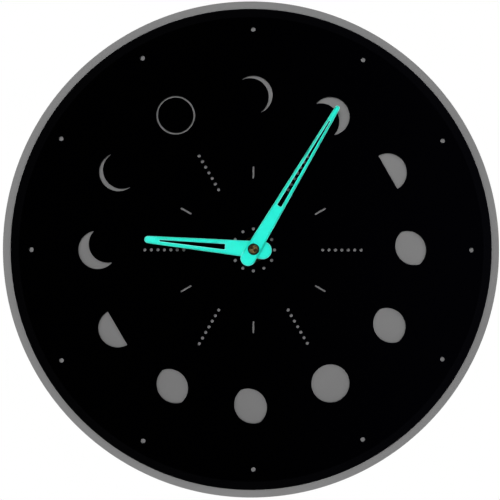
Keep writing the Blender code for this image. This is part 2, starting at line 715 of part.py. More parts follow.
def build_hands():
    hour_hand = hand("hour_hand", HOUR_ANGLE, (HOUR_TIP_DISTANCE, HOUR_TIP_RADIUS),
                     (HOUR_TAIL_DISTANCE, HOUR_TAIL_RADIUS),
                     (HOUR_SLOT_START, HOUR_SLOT_END, HOUR_SLOT_WIDE, HOUR_SLOT_NARROW),
                     circle((0, 0), TUBE_RADIUS + GAP, 24), HOUR_HAND_REAR)
    join(hour_hand, ring("hour_hand_collet", TUBE_RADIUS + GAP, TUBE_RADIUS + GAP + COLLET_WALL, COLLET_REAR,
                         HOUR_HAND_REAR + BITE))
    hand("minute_hand", MINUTE_ANGLE, (MINUTE_TIP_DISTANCE, MINUTE_TIP_RADIUS),
         (MINUTE_TAIL_DISTANCE, MINUTE_TAIL_RADIUS),
         (MINUTE_SLOT_START, MINUTE_SLOT_END, MINUTE_SLOT_WIDE, MINUTE_SLOT_NARROW),
         flatted_circle(PIPE_RADIUS + GAP, PIPE_RADIUS - FLAT_DEPTH + GAP), MINUTE_HAND_REAR)
    crown_start = HAND_NUT_FRONT - HAND_NUT_EDGE
    foot_front = HAND_NUT_REAR + HAND_NUT_FOOT_HEIGHT
    crown = [(HAND_NUT_RADIUS - HAND_NUT_EDGE + HAND_NUT_EDGE * sin(turn),
              crown_start + HAND_NUT_EDGE * cos(turn)) for turn in (0, radians(30), radians(60), pi / 2)]
    bore = PIPE_RADIUS + GAP
    turned("hand_nut", [(0, HAND_NUT_FRONT)] + crown
           + [(HAND_NUT_RADIUS, foot_front), (HAND_NUT_FOOT_RADIUS, foot_front),
              (HAND_NUT_FOOT_RADIUS, HAND_NUT_REAR), (bore, HAND_NUT_REAR),
              (bore, HAND_NUT_FRONT - HAND_NUT_CROWN), (0, HAND_NUT_FRONT - HAND_NUT_CROWN)],
           sides=20, finish=BRASS)


# Motion work: the minute arbor, the reduction wheel on the setting stem and the hour wheel

def build_motion_work():
    pipe = rod("minute_arbor", PIPE_RADIUS, CLUTCH_REAR, PIPE_FRONT, sides=20, finish=BRASS)
    cannon = slab("cannon_pinion", [gear_outline(CANNON_TEETH, CANNON_MODULE)],
                  MINUTE_REAR - PINION_MARGIN, MINUTE_FRONT + PINION_MARGIN)
    clutch = rod("clutch_flange", CLUTCH_RADIUS, CLUTCH_REAR, CLUTCH_REAR + CLUTCH_THICKNESS, sides=20)
    join(pipe, cannon, clutch)
    flats = []
    flat = PIPE_RADIUS - FLAT_DEPTH
    flat_rear = MINUTE_HAND_REAR - GAP
    flat_front = MINUTE_HAND_FRONT + GAP / 2
    beyond = 2 * PIPE_RADIUS
    for side in (-1, 1):
        low, high = sorted((side * flat, side * beyond))
        flats.append(block("pipe_flat", (low, -beyond, flat_rear), (high, beyond, flat_front)))
    cut(pipe, *flats, rod("pipe_bore", PIPE_BORE, CLUTCH_REAR - GAP, PIPE_FRONT + GAP, sides=12))

    # The arbor, its pinion and its flats stand at the minute hand's angle.
    for piece in (pipe, cannon, *flats):
        piece.rotation_euler.z = -MINUTE_ANGLE
    wheel_phase = mating_phase(CANNON_TEETH, -MINUTE_ANGLE, MINUTE_TEETH, pi / 2)
    wheel = slab("minute_wheel", [gear_outline(MINUTE_TEETH, CANNON_MODULE, wheel_phase)],
                 MINUTE_REAR, MINUTE_FRONT, axis=STEM_AXIS, finish=WHITE_PLASTIC)
    pinion = slab("minute_wheel_pinion", [gear_outline(MINUTE_PINION_TEETH, HOUR_MODULE)],
                  MINUTE_FRONT - BITE, HOUR_FRONT + PINION_MARGIN, axis=STEM_AXIS)
    stem_front = FLOOR_REAR - STEM_BOSS_LENGTH + BOSS_WALL
    stem = rod("setting_stem", STEM_RADIUS, 2 * GAP, stem_front, sides=16, axis=STEM_AXIS)
    join(wheel, pinion, stem)

    hour_phase = mating_phase(MINUTE_PINION_TEETH, 0.0, HOUR_TEETH, -pi / 2)
    hour_wheel = slab("hour_wheel", [gear_outline(HOUR_TEETH, HOUR_MODULE, hour_phase)],
                      HOUR_REAR, HOUR_FRONT, finish=WHITE_PLASTIC)
    join(hour_wheel, rod("hour_tube", TUBE_RADIUS, HOUR_REAR - BITE, TUBE_FRONT, sides=24))
    cut(hour_wheel, rod("hour_tube_bore", TUBE_BORE, HOUR_REAR - LEVEL_SPACE, TUBE_FRONT + GAP, sides=24))

    flute_radius = KNOB_RADIUS - KNOB_FLUTE_DEPTH
    steps = ((0, KNOB_RADIUS), (0.45, KNOB_RADIUS), (0.6, flute_radius), (0.85, flute_radius))
    knob_edge = []
    for flute in range(KNOB_FLUTES):
        for share, radius in steps:
            turn = tau * (flute + share) / KNOB_FLUTES
            knob_edge.append((radius * cos(turn), radius * sin(turn)))
    slab("setting_knob", [knob_edge, circle((0, 0), STEM_RADIUS + GAP, 16)], GAP, GAP + KNOB_THICKNESS,
         axis=STEM_AXIS, finish=WHITE_PLASTIC)


# Going train, from the motor to the minute arbor's clutch

def arbor(name, axis, front, radius=ARBOR_RADIUS, rear=PIVOT_REAR):
    return rod(name, radius, rear, front, sides=12, axis=axis)


def build_going_train():
    rotor_front = THIRD_FRONT + PINION_MARGIN
    rotor = slab("rotor_pinion", [gear_outline(ROTOR_TEETH, ROTOR_MODULE)], THIRD_REAR - PINION_MARGIN,
                 rotor_front, axis=ROTOR_AXIS, finish=WHITE_PLASTIC)
    plate_pivot = PLATE_FRONT - BITE
    join(rotor, arbor("rotor_spindle", ROTOR_AXIS, plate_pivot))
    ring("rotor_magnet", ARBOR_RADIUS + GAP, MAGNET_RADIUS, MAGNET_REAR, MAGNET_FRONT, sides=20,
         axis=ROTOR_AXIS, finish=MAGNET)

    wheel_phase = mating_phase(ROTOR_TEETH, 0.0, INTERMEDIATE_TEETH, ROTOR_DIRECTION + pi)
    intermediate = slab("intermediate_wheel", [gear_outline(INTERMEDIATE_TEETH, ROTOR_MODULE, wheel_phase)],
                        THIRD_REAR, THIRD_FRONT, axis=INTERMEDIATE_AXIS, finish=WHITE_PLASTIC)
    pinion = slab("intermediate_pinion", [gear_outline(INTERMEDIATE_PINION_TEETH, SECONDS_MODULE)],
                  SECONDS_REAR - PINION_MARGIN / 2, THIRD_REAR + BITE, axis=INTERMEDIATE_AXIS)
    join(intermediate, pinion, arbor("intermediate_arbor", INTERMEDIATE_AXIS, plate_pivot))

    seconds_phase = mating_phase(INTERMEDIATE_PINION_TEETH, 0.0, SECONDS_TEETH, INTERMEDIATE_DIRECTION + pi)
    seconds = slab("seconds_wheel", [gear_outline(SECONDS_TEETH, SECONDS_MODULE, seconds_phase)],
                   SECONDS_REAR, SECONDS_FRONT, finish=WHITE_PLASTIC)
    pinion = slab("seconds_pinion", [gear_outline(SECONDS_PINION_TEETH, THIRD_MODULE)],
                  SECONDS_FRONT - BITE, THIRD_FRONT + PINION_MARGIN)
    join(seconds, pinion, arbor("seconds_arbor", CENTRE_AXIS, CLUTCH_REAR + SECONDS_ARBOR_REACH))

    third_phase = mating_phase(SECONDS_PINION_TEETH, 0.0, THIRD_TEETH, THIRD_DIRECTION)
    third = slab("third_wheel", [gear_outline(THIRD_TEETH, THIRD_MODULE, third_phase)],
                 THIRD_REAR, THIRD_FRONT, axis=THIRD_AXIS, finish=WHITE_PLASTIC)
    pinion = slab("third_pinion", [gear_outline(THIRD_PINION_TEETH, CENTRE_MODULE)],
                  CENTRE_REAR - PINION_MARGIN, CENTRE_FRONT + PINION_MARGIN, axis=THIRD_AXIS)
    third_front = FLOOR_REAR - BOSS_LENGTH + 2 * BOSS_WALL
    join(third, pinion, arbor("third_arbor", THIRD_AXIS, third_front))

    centre_phase = mating_phase(THIRD_PINION_TEETH, 0.0, CENTRE_TEETH, THIRD_DIRECTION + pi)
    centre = slab("centre_wheel", [gear_outline(CENTRE_TEETH, CENTRE_MODULE, centre_phase)],
                  CENTRE_REAR, CENTRE_FRONT, finish=WHITE_PLASTIC)
    join(centre, rod("centre_hub", CENTRE_HUB_RADIUS, CENTRE_REAR + BITE, CENTRE_FRONT + PINION_MARGIN,
                     sides=20))
    cut(centre, rod("centre_bore", TUBE_BORE, CENTRE_REAR - GAP, CENTRE_FRONT + LEVEL_SPACE, sides=20))


# Motor: stator, coil and its two screws

def along_x(piece, start, height, depth):
    """Lays a piece turned about its own z along the dial's x axis."""
    piece.rotation_euler = (0, pi / 2, 0)
    piece.location = (start, height, depth)
    return piece


def build_motor():
    path = [(COIL_LEFT, COIL_HEIGHT + STATOR_LEG_WIDTH / 2), (COIL_LEFT, YOKE_HEIGHT),
            (ROTOR_AXIS.x - STATOR_LEFT_POLE, YOKE_HEIGHT), (ROTOR_AXIS.x - STATOR_LEFT_POLE, ROTOR_AXIS.y),
            (COIL_RIGHT, ROTOR_AXIS.y), (COIL_RIGHT, COIL_HEIGHT + STATOR_LEG_WIDTH / 2)]
    stator_front = SECONDS_REAR + STATOR_THICKNESS
    hole = MAGNET_RADIUS + STATOR_AIR_GAP
    stator = slab("stator_plate", [strip_outline(path, STATOR_LEG_WIDTH)], SECONDS_REAR, stator_front,
                  finish=SOFT_IRON)
    join(stator, rod("stator_ring", hole + STATOR_RING_WALL, SECONDS_REAR, stator_front, sides=28,
                     axis=ROTOR_AXIS))
    cut(stator, rod("stator_hole", hole, SECONDS_REAR - GAP, stator_front + GAP, sides=28, axis=ROTOR_AXIS))

    pad = STATOR_LEG_WIDTH / 2
    half_core = CORE_WIDTH / 2
    core = block("coil_core", (COIL_LEFT - pad, COIL_HEIGHT - half_core, CORE_REAR),
                 (COIL_RIGHT + pad, COIL_HEIGHT + half_core, CORE_FRONT), finish=SOFT_IRON)
    for x in (COIL_LEFT, COIL_RIGHT):
        join(core, rod("core_pad", pad, CORE_REAR, CORE_FRONT, sides=16, axis=(x, COIL_HEIGHT)))

    core_middle = (CORE_REAR + CORE_FRONT) / 2
    bobbin_start = COIL_LEFT + BOBBIN_END_SPACE
    bobbin_length = COIL_SPAN - 2 * BOBBIN_END_SPACE
    bore = sqrt(CORE_WIDTH ** 2 + CORE_THICKNESS ** 2) / 2 + GAP
    barrel = bore + BOBBIN_WALL
    flange = BOBBIN_FLANGE_RADIUS
    near = BOBBIN_FLANGE_THICKNESS
    far = bobbin_length - BOBBIN_FLANGE_THICKNESS
    bobbin = turned("coil_bobbin",
                    [(bore, bobbin_length), (flange, bobbin_length), (flange, far), (barrel, far),
                     (barrel, near), (flange, near), (flange, 0), (bore, 0)], sides=20, finish=WHITE_PLASTIC)
    along_x(bobbin, bobbin_start, COIL_HEIGHT, core_middle)
    winding = ring("coil_winding", barrel + GAP, flange - WINDING_INSET, near + GAP, far - GAP,
                   sides=20, finish=COPPER)
    along_x(winding, bobbin_start, COIL_HEIGHT, core_middle)

    head_front = SECONDS_REAR - GAP
    head_rear = head_front - SCREW_HEAD_HEIGHT
    hole_radius = SCREW_RADIUS + GAP
    for name, x in (("stator_screw_left", COIL_LEFT), ("stator_screw_right", COIL_RIGHT)):
        turned(name, [(0, CORE_FRONT + SCREW_GRIP), (SCREW_RADIUS, CORE_FRONT + SCREW_GRIP),
                      (SCREW_RADIUS, head_front), (SCREW_HEAD_RADIUS, head_front),
                      (SCREW_HEAD_RADIUS, head_rear), (0, head_rear)],
               sides=12, axis=(x, COIL_HEIGHT), finish=STEEL)
        for piece in (stator, core):
            cut(piece, rod(name + "_hole", hole_radius, SECONDS_REAR - GAP, CORE_FRONT + GAP, sides=12,
                           axis=(x, COIL_HEIGHT)))


# Electronics

def build_electronics():
    board_left = BOARD_INSET - INNER_HALF
    board_right = THIRD_AXIS.x - gear_tip(THIRD_TEETH, THIRD_MODULE) - BOARD_WHEEL_SPACE
    board_bottom = PLATE_BOTTOM + GAP
    block("circuit_board", (board_left, board_bottom, BOARD_REAR),
          (board_right, board_bottom + BOARD_HEIGHT, BOARD_FRONT), finish=BOARD_GREEN)
    middle = (board_left + board_right) / 2
    crystal = rod("quartz_crystal", CRYSTAL_RADIUS, 0, CRYSTAL_LENGTH, sides=16, finish=NICKEL)
    crystal.rotation_euler = (-pi / 2, 0, 0)
    crystal.location = (middle, CRYSTAL_HEIGHT - CRYSTAL_LENGTH / 2, BOARD_REAR - GAP - CRYSTAL_RADIUS)
    rod("controller_chip", CHIP_RADIUS, BOARD_REAR - GAP - CHIP_THICKNESS, BOARD_REAR - GAP, sides=20,
        axis=(middle, 0), finish=RESIN)


def build_battery():
    end = BATTERY_LENGTH - BATTERY_NUB_LENGTH
    rim = BATTERY_RADIUS - BATTERY_EDGE
    cell = turned("battery", [(0, BATTERY_LENGTH), (BATTERY_NUB_RADIUS, BATTERY_LENGTH),
                              (BATTERY_NUB_RADIUS, end), (rim, end), (BATTERY_RADIUS, end - BATTERY_EDGE),
                              (BATTERY_RADIUS, BATTERY_EDGE), (rim, 0), (0, 0)], sides=24, finish=CELL_SLEEVE)
    along_x(cell, BATTERY_START, BATTERY_AXIS_HEIGHT, BATTERY_INSET + BATTERY_RADIUS)

    low_end = BATTERY_BAY_BOTTOM + CONTACT_END_INSET
    strip_height = GEAR_BAY_BOTTOM + GAP + CONTACT_THICKNESS / 2
    plus_x = PLUS_FACE + CONTACT_THICKNESS / 2
    strip_left = BOARD_INSET - INNER_HALF + CONTACT_WIDTH
    plus_path = [(plus_x, low_end), (plus_x, strip_height), (strip_left, strip_height)]
    rear = BATTERY_INSET + BATTERY_RADIUS - 2 * CONTACT_WIDTH
    slab("battery_contact_plus", [strip_outline(plus_path, CONTACT_THICKNESS)], rear, rear + CONTACT_WIDTH,
         finish=NICKEL)

    # The leaf doubles back from the foot of its strip and bows towards the cell's flat end.
    strip_x = GAP + CONTACT_THICKNESS / 2 - INNER_HALF
    leaf_end = BATTERY_AXIS_HEIGHT + (BATTERY_AXIS_HEIGHT - low_end) * LEAF_REACH
    fold_x = strip_x + CONTACT_THICKNESS + GAP
    bow = BATTERY_START - GAP - CONTACT_THICKNESS / 2 - fold_x
    shares = [step / LEAF_STEPS for step in range(LEAF_STEPS)]
    leaf = [(fold_x + bow * sin(pi * share) ** 2, leaf_end + (low_end - leaf_end) * share)
            for share in shares]
    tab_end = PLATE_BOTTOM + CONTACT_WIDTH
    minus_path = leaf + [(fold_x, low_end), (strip_x, low_end), (strip_x, tab_end)]
    slab("battery_contact_minus", [strip_outline(minus_path, CONTACT_THICKNESS)], rear, rear + CONTACT_WIDTH,
         finish=NICKEL)


# Case and covers

def build_train_plate():
    side = INNER_HALF - PLATE_INSET
    edge = rounded_rectangle(-side, PLATE_BOTTOM, side, PLATE_TOP, (PLATE_CORNER,) * 4)
    pivot = ARBOR_RADIUS + GAP
    third_passage = gear_tip(THIRD_PINION_TEETH, CENTRE_MODULE) + GAP
    holes = [circle(axis, pivot, 12) for axis in (CENTRE_AXIS, ROTOR_AXIS, INTERMEDIATE_AXIS)]
    holes += [circle(THIRD_AXIS, third_passage, 16), circle(STEM_AXIS, STEM_RADIUS + GAP, 16)]
    holes += [circle(spot, PEG_RADIUS + GAP, 12) for spot in pillar_spots()]
    slab("train_plate", [edge] + holes, PLATE_REAR, PLATE_FRONT, finish=WHITE_PLASTIC)


def pillar_spots():
    x = INNER_HALF - PILLAR_INSET
    heights = (PLATE_BOTTOM + PILLAR_INSET, PLATE_TOP - PILLAR_INSET)
    return [(side * x, y) for side in (-1, 1) for y in heights]


def build_case():
    case = slab("movement_case", [rounded_rectangle(-CASE_HALF, -CASE_HALF, CASE_HALF, CASE_HALF,
                                                    (CASE_CORNER,) * 4)], 0, CASE_DEPTH, finish=CASE_PLASTIC)
    beyond = 2 * CASE_HALF
    behind = -CASE_DEPTH
    cover_seat = COVER_THICKNESS + GAP
    inner_corner = CASE_CORNER - WALL
    gear_bay = rounded_rectangle(-INNER_HALF, GEAR_BAY_BOTTOM, INNER_HALF, INNER_HALF,
                                 (0, 0, inner_corner, inner_corner))
    battery_bay = rounded_rectangle(-INNER_HALF, BATTERY_BAY_BOTTOM, INNER_HALF, BATTERY_BAY_TOP,
                                    (0, 0, 0, 0))
    cut(case, block("cover_step", (-beyond, BATTERY_BAY_TOP, behind), (beyond, beyond, cover_seat)),
        slab("gear_bay", [gear_bay], behind, FLOOR_REAR),
        slab("battery_bay", [battery_bay], behind, FLOOR_REAR),
        rod("bushing_hole", BUSHING_RADIUS + GAP, FLOOR_REAR - WALL, CASE_DEPTH + WALL, sides=24))

    notch_depth = BATTERY_INSET + BATTERY_RADIUS - CONTACT_WIDTH + GAP
    minus_notch = (-INNER_HALF, -INNER_HALF + CONTACT_THICKNESS + 3 * GAP)
    plus_notch = (PLUS_FACE - 2 * GAP, INNER_HALF)
    for low, high in (minus_notch, plus_notch):
        cut(case, block("contact_notch", (low, BATTERY_BAY_TOP - WALL, behind),
                        (high, GEAR_BAY_BOTTOM + WALL, notch_depth)))
    for side in (-1, 1):
        low, high = sorted((side * (INNER_HALF - WALL / 2), side * (CASE_HALF + WALL)))
        hook_rear = COVER_THICKNESS + CLIP_LENGTH - CLIP_HOOK_HEIGHT - GAP
        half_window = CLIP_WIDTH / 2 + GAP
        cut(case, block("clip_window", (low, CLIP_HEIGHT - half_window, hook_rear),
                        (high, CLIP_HEIGHT + half_window, hook_rear + CLIP_HOOK_HEIGHT + 2 * GAP)))

    root = FLOOR_REAR + BITE
    for spot in pillar_spots():
        join(case, rod("plate_pillar", PILLAR_RADIUS, PLATE_FRONT + GAP, root, sides=16, axis=spot),
             rod("plate_peg", PEG_RADIUS, PLATE_REAR + BITE, PLATE_FRONT + WALL, sides=12, axis=spot))
    for x in (COIL_LEFT, COIL_RIGHT):
        spot = (x, COIL_HEIGHT)
        join(case, rod("screw_pillar", SCREW_PILLAR_RADIUS, CORE_FRONT + GAP, root, sides=16, axis=spot))
        cut(case, rod("screw_pilot", SCREW_RADIUS + GAP, CORE_FRONT, CORE_FRONT + SCREW_GRIP + GAP, sides=12,
                      axis=spot))
    bearings = ((THIRD_AXIS, ARBOR_RADIUS, BOSS_LENGTH, 2 * BOSS_WALL),
                (STEM_AXIS, STEM_RADIUS, STEM_BOSS_LENGTH, BOSS_WALL))
    for spot, radius, length, depth in bearings:
        rear = FLOOR_REAR - length
        join(case, rod("bearing_boss", radius + GAP + BOSS_WALL, rear, root, sides=16, axis=spot))
        cut(case, rod("bearing_bore", radius + GAP, rear - GAP, rear + depth + GAP, sides=12, axis=spot))


def loop_outline(root, inset=0.0):
    """Hanging loop that narrows upwards from its root, with rounded shoulders."""
    top = HANG_HEIGHT + LOOP_MATERIAL - inset
    side = LOOP_TOP_WIDTH / 2 - inset
    foot = LOOP_WIDTH / 2 - inset
    shoulder = CASE_CORNER
    right = arc((side - shoulder, top - shoulder), shoulder, 0, pi / 2, radians(18))
    left = arc((shoulder - side, top - shoulder), shoulder, pi / 2, pi, radians(18))
    return [(foot, root)] + right + left + [(-foot, root)]


def nail_slot(inset=0.0):
    """Slot of the hanging loop, with a shallow notch in its upper edge that centres the nail."""
    seat = HANG_HEIGHT + inset
    top = seat - NOTCH_DEPTH
    bottom = HANG_HEIGHT - SLOT_HEIGHT - inset
    side = SLOT_WIDTH / 2 + inset
    round_end = (top - bottom) / 2
    middle = (top + bottom) / 2
    right = arc((side - round_end, middle), round_end, -pi / 2, pi / 2, radians(30))
    left = arc((round_end - side, middle), round_end, pi / 2, 3 * pi / 2, radians(30))
    mouth = NOTCH_WIDTH / 2
    notch = [(mouth, top), (mouth / 2, seat), (-mouth / 2, seat), (-mouth, top)]
    return right + notch + left


def build_rear_cover():
    corner = CASE_CORNER
    shoulder = CASE_HALF - corner
    cover_edge = [(-CASE_HALF, BATTERY_BAY_TOP + GAP), (CASE_HALF, BATTERY_BAY_TOP + GAP)] \
        + arc((shoulder, shoulder), corner, 0, pi / 2, radians(18)) + loop_outline(CASE_HALF) \
        + arc((-shoulder, shoulder), corner, pi / 2, pi, radians(18))
    cover = slab("rear_cover", [cover_edge, nail_slot()], 0, COVER_THICKNESS, finish=CASE_PLASTIC)
    join(cover, slab("hanging_loop_rib", [loop_outline(CASE_HALF + GAP, BITE), nail_slot(BITE)],
                     COVER_THICKNESS - BITE, LOOP_THICKNESS))

    beyond = -CASE_DEPTH
    join(cover, rod("knob_recess", RECESS_OUTER, 0, RECESS_FRONT, sides=32, axis=STEM_AXIS))
    cut(cover, rod("knob_pocket", RECESS_RADIUS, beyond, RECESS_REAR, sides=32, axis=STEM_AXIS),
        rod("stem_hole", STEM_RADIUS + GAP, beyond, CASE_DEPTH, sides=16, axis=STEM_AXIS))

    cup_front = COVER_THICKNESS + CUP_HEIGHT
    for spot in (CENTRE_AXIS, THIRD_AXIS, INTERMEDIATE_AXIS, ROTOR_AXIS):
        join(cover, rod("bearing_cup", CUP_RADIUS, COVER_THICKNESS - BITE, cup_front, sides=16, axis=spot))
        cut(cover, rod("cup_bore", ARBOR_RADIUS + GAP, CUP_SKIN, cup_front + GAP, sides=12, axis=spot))

    clip_end = COVER_THICKNESS + CLIP_LENGTH
    for side in (-1, 1):
        outer = side * (INNER_HALF - GAP)
        inner = side * (INNER_HALF - GAP - CLIP_THICKNESS)
        hook = side * (INNER_HALF + CLIP_HOOK)
        low = CLIP_HEIGHT - CLIP_WIDTH / 2
        high = CLIP_HEIGHT + CLIP_WIDTH / 2
        left, right = sorted((inner, outer))
        join(cover, block("clip", (left, low, COVER_THICKNESS - BITE), (right, high, clip_end)))
        left, right = sorted((inner + side * BITE, hook))
        join(cover, block("clip_hook", (left, low + BITE, clip_end - CLIP_HOOK_HEIGHT),
                          (right, high - BITE, clip_end - BITE)))


build_dial()
build_hub_fittings()
build_hands()
build_motion_work()
build_going_train()
build_motor()
build_electronics()
build_battery()
build_train_plate()
build_case()
build_rear_cover()
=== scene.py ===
# %% [markdown]
# # Moon phase wall clock
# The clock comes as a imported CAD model, in which every piece sits in its place: an acrylic dial of two
# sheets, two hands, and a battery movement behind them. Pieces that the eye comes close to are made again
# here with finer edges, threads and knurls, and every piece gets a finish built from shader nodes.

# %% Load the model
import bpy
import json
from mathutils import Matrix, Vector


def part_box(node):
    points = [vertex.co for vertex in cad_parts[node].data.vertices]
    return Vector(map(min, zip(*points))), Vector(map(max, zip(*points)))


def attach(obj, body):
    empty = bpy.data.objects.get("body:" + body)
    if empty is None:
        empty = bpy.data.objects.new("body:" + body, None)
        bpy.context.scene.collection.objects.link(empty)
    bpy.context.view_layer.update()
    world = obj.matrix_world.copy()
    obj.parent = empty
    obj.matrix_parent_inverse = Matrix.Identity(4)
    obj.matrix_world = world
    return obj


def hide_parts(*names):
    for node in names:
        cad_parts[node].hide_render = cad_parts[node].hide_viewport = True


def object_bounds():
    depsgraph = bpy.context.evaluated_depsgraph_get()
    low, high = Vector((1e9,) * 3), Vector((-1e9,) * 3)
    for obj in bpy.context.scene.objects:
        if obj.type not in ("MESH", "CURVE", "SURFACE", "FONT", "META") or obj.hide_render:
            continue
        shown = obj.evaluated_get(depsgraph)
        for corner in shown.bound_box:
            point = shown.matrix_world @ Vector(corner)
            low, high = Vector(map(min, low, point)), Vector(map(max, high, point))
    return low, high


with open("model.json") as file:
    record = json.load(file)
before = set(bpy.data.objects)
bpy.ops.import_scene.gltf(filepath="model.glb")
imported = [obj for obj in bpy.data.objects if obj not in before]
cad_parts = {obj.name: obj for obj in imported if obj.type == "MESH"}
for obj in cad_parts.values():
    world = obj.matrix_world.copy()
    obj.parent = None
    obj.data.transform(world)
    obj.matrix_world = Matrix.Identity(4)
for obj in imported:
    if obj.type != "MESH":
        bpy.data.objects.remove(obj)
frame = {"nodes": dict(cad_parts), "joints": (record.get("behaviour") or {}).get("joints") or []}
cad_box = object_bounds()

# %% [markdown]
# ## Dial coordinates
# A clockmaker measures from the dial: x to the right, y up, and height out from the wall. That keeps the
# numbers easy to read. One matrix then turns a finished mesh into the model's world, where z is up and the
# dial faces -y. Its object stays at the origin, so that patterns on object coordinates keep their place.

# %% Dial coordinates
import json
from contextlib import contextmanager
from math import asin, atan2, cos, hypot, pi, radians, sin, sqrt, tan, tau

import bmesh
import bpy
from mathutils import Matrix, Vector

MM = 0.001
joints = {joint["name"]: joint for joint in frame["joints"]}
AXIS_HEIGHT = joints["minute_turn"]["pos_m"][2]
HUB = (0, 0, AXIS_HEIGHT)
DIAL = Matrix.Translation(HUB) @ Matrix.Rotation(pi / 2, 4, "X")


def levels(node):
    """Rear and front height of a node above the wall."""
    low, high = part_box(node)
    return -high.y, -low.y


def half_width(node):
    low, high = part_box(node)
    return (high.x - low.x) / 2


print("the hands turn", round(-AXIS_HEIGHT / MM, 2), "mm below the nail")

# %% [markdown]
# ## Flat and turned work
# Two kinds of work make most of a clock. Sheet is cut along outlines, and a filled curve with a thickness
# and a small bevel gives that. Round pieces are turned from a profile, and the Screw modifier is Blender's
# lathe. Both return a plain mesh with closed seams and faces that look outwards.

# %% Plain meshes
SEAM = 1e-7


@contextmanager
def editing(mesh):
    """Opens a mesh for editing and writes the result back."""
    work = bmesh.new()
    work.from_mesh(mesh)
    yield work
    work.to_mesh(mesh)
    work.free()


def set_up(thing, **settings):
    for key, value in settings.items():
        setattr(thing, key, value)
    return thing


def closed(mesh):
    with editing(mesh) as work:
        bmesh.ops.remove_doubles(work, verts=work.verts, dist=SEAM)
        bmesh.ops.recalc_face_normals(work, faces=work.faces)
    return mesh


def in_scene(name, data):
    thing = bpy.data.objects.new(name, data)
    bpy.context.scene.collection.objects.link(thing)
    return thing


def new_mesh(name, points, lines=(), faces=()):
    mesh = bpy.data.meshes.new(name)
    mesh.from_pydata(points, lines, faces)
    return mesh


def plain_mesh(source):
    """The mesh that an object's modifiers leave. The object and its modifiers are removed."""
    bpy.context.view_layer.update()
    graph = bpy.context.evaluated_depsgraph_get()
    mesh = bpy.data.meshes.new_from_object(source.evaluated_get(graph))
    source.modifiers.clear()
    bpy.data.objects.remove(source, do_unlink=True)
    return closed(mesh)


def joined(mesh, *others):
    with editing(mesh) as work:
        for other in others:
            work.from_mesh(other)
    return mesh


# %% Flat and turned work
def at_turns(radius, turns, centre):
    return [(centre[0] + radius * cos(turn), centre[1] + radius * sin(turn)) for turn in turns]


def circle(radius, sides=96, centre=(0, 0)):
    return at_turns(radius, [tau * side / sides for side in range(sides)], centre)


def arc(radius, start, end, centre=(0, 0), pace=radians(4)):
    count = max(2, round(abs(end - start) / pace))
    return at_turns(radius, [start + (end - start) * index / count for index in range(count + 1)], centre)


def sheet(name, outlines, rear, front, edge=0.0):
    """Flat work from an outline and those of its holes. Edge is the size of its bevel."""
    curve = set_up(bpy.data.curves.new(name, "CURVE"), dimensions="2D", fill_mode="BOTH", offset=-edge,
                   extrude=(front - rear) / 2 - edge, bevel_depth=edge, bevel_resolution=1)
    for points in outlines:
        spline = curve.splines.new("POLY")
        spline.points.add(len(points) - 1)
        spline.points.foreach_set("co", [part for x, y in points for part in (x, y, 0, 1)])
        spline.use_cyclic_u = True
    mesh = plain_mesh(in_scene(name, curve))
    mesh.transform(Matrix.Translation((0, 0, (rear + front) / 2)))
    return mesh


def turned(name, profile, sides=96):
    """Round work about its own z, from (radius, height) points. One that starts on the axis ends on it."""
    count = len(profile)
    lines = [(index, (index + 1) % count) for index in range(count)]
    if profile[0][0] == 0:
        lines.pop()
    source = in_scene(name, new_mesh(name, [(radius, 0, height) for radius, height in profile], lines))
    set_up(source.modifiers.new("lathe", "SCREW"), steps=sides, render_steps=sides, use_merge_vertices=True,
           merge_threshold=SEAM)
    return plain_mesh(source)


# %% Finished pieces
SOFTEST_EDGE = radians(30)
SQUARE_ON = 0.99999
LARGE_FLAT = 2e-6


def shade(mesh):
    """Smooth shading that leaves edges sharp and large flat faces truly flat."""
    mesh.shade_smooth()
    mesh.set_sharp_from_angle(angle=SOFTEST_EDGE)
    for face in mesh.polygons:
        if max(abs(part) for part in face.normal) > SQUARE_ON and face.area > LARGE_FLAT:
            face.use_smooth = False


def piece(name, mesh, node, *finishes, body="clock", slot=None, place=DIAL):
    """Finishes a mesh that stands for a node. The slot argument is not used."""
    mesh.transform(place)
    if not mesh.materials:
        for finish in finishes:
            mesh.materials.append(finish)
    shade(mesh)
    thing = in_scene(name, mesh)
    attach(thing, body)
    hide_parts(node)
    faces = sum(len(face.vertices) - 2 for face in mesh.polygons)
    print(f"{name}: {faces} triangles, rides on {body}")


# %% [markdown]
# ## Node trees
# Shader trees and Geometry Nodes trees are wired alike: make a node, give its inputs numbers or the outputs
# of other nodes, and go on from its result. One helper does both, in the tree that was started last, so the
# lesson reads as a list of steps.

# %% Steps of a tree
def fill(node, inputs):
    """Gives a node its inputs: another node's output is linked, and anything else is typed in."""
    for key, value in inputs.items():
        for part in value if isinstance(value, list) else [value]:
            if isinstance(part, bpy.types.NodeSocket):
                tree.links.new(part, node.inputs[key])
            else:
                node.inputs[key].default_value = part


def step(kind, inputs=None, give=0, **settings):
    """Adds a node, fills it, and gives one of its outputs."""
    node = set_up(tree.nodes.new(kind), **settings)
    fill(node, inputs or {})
    return node.outputs[give]


def maths(operation, *numbers):
    return step("ShaderNodeMath", dict(enumerate(numbers)), operation=operation)


def times(product, *numbers):
    for number in numbers:
        product = maths("MULTIPLY", product, number)
    return product


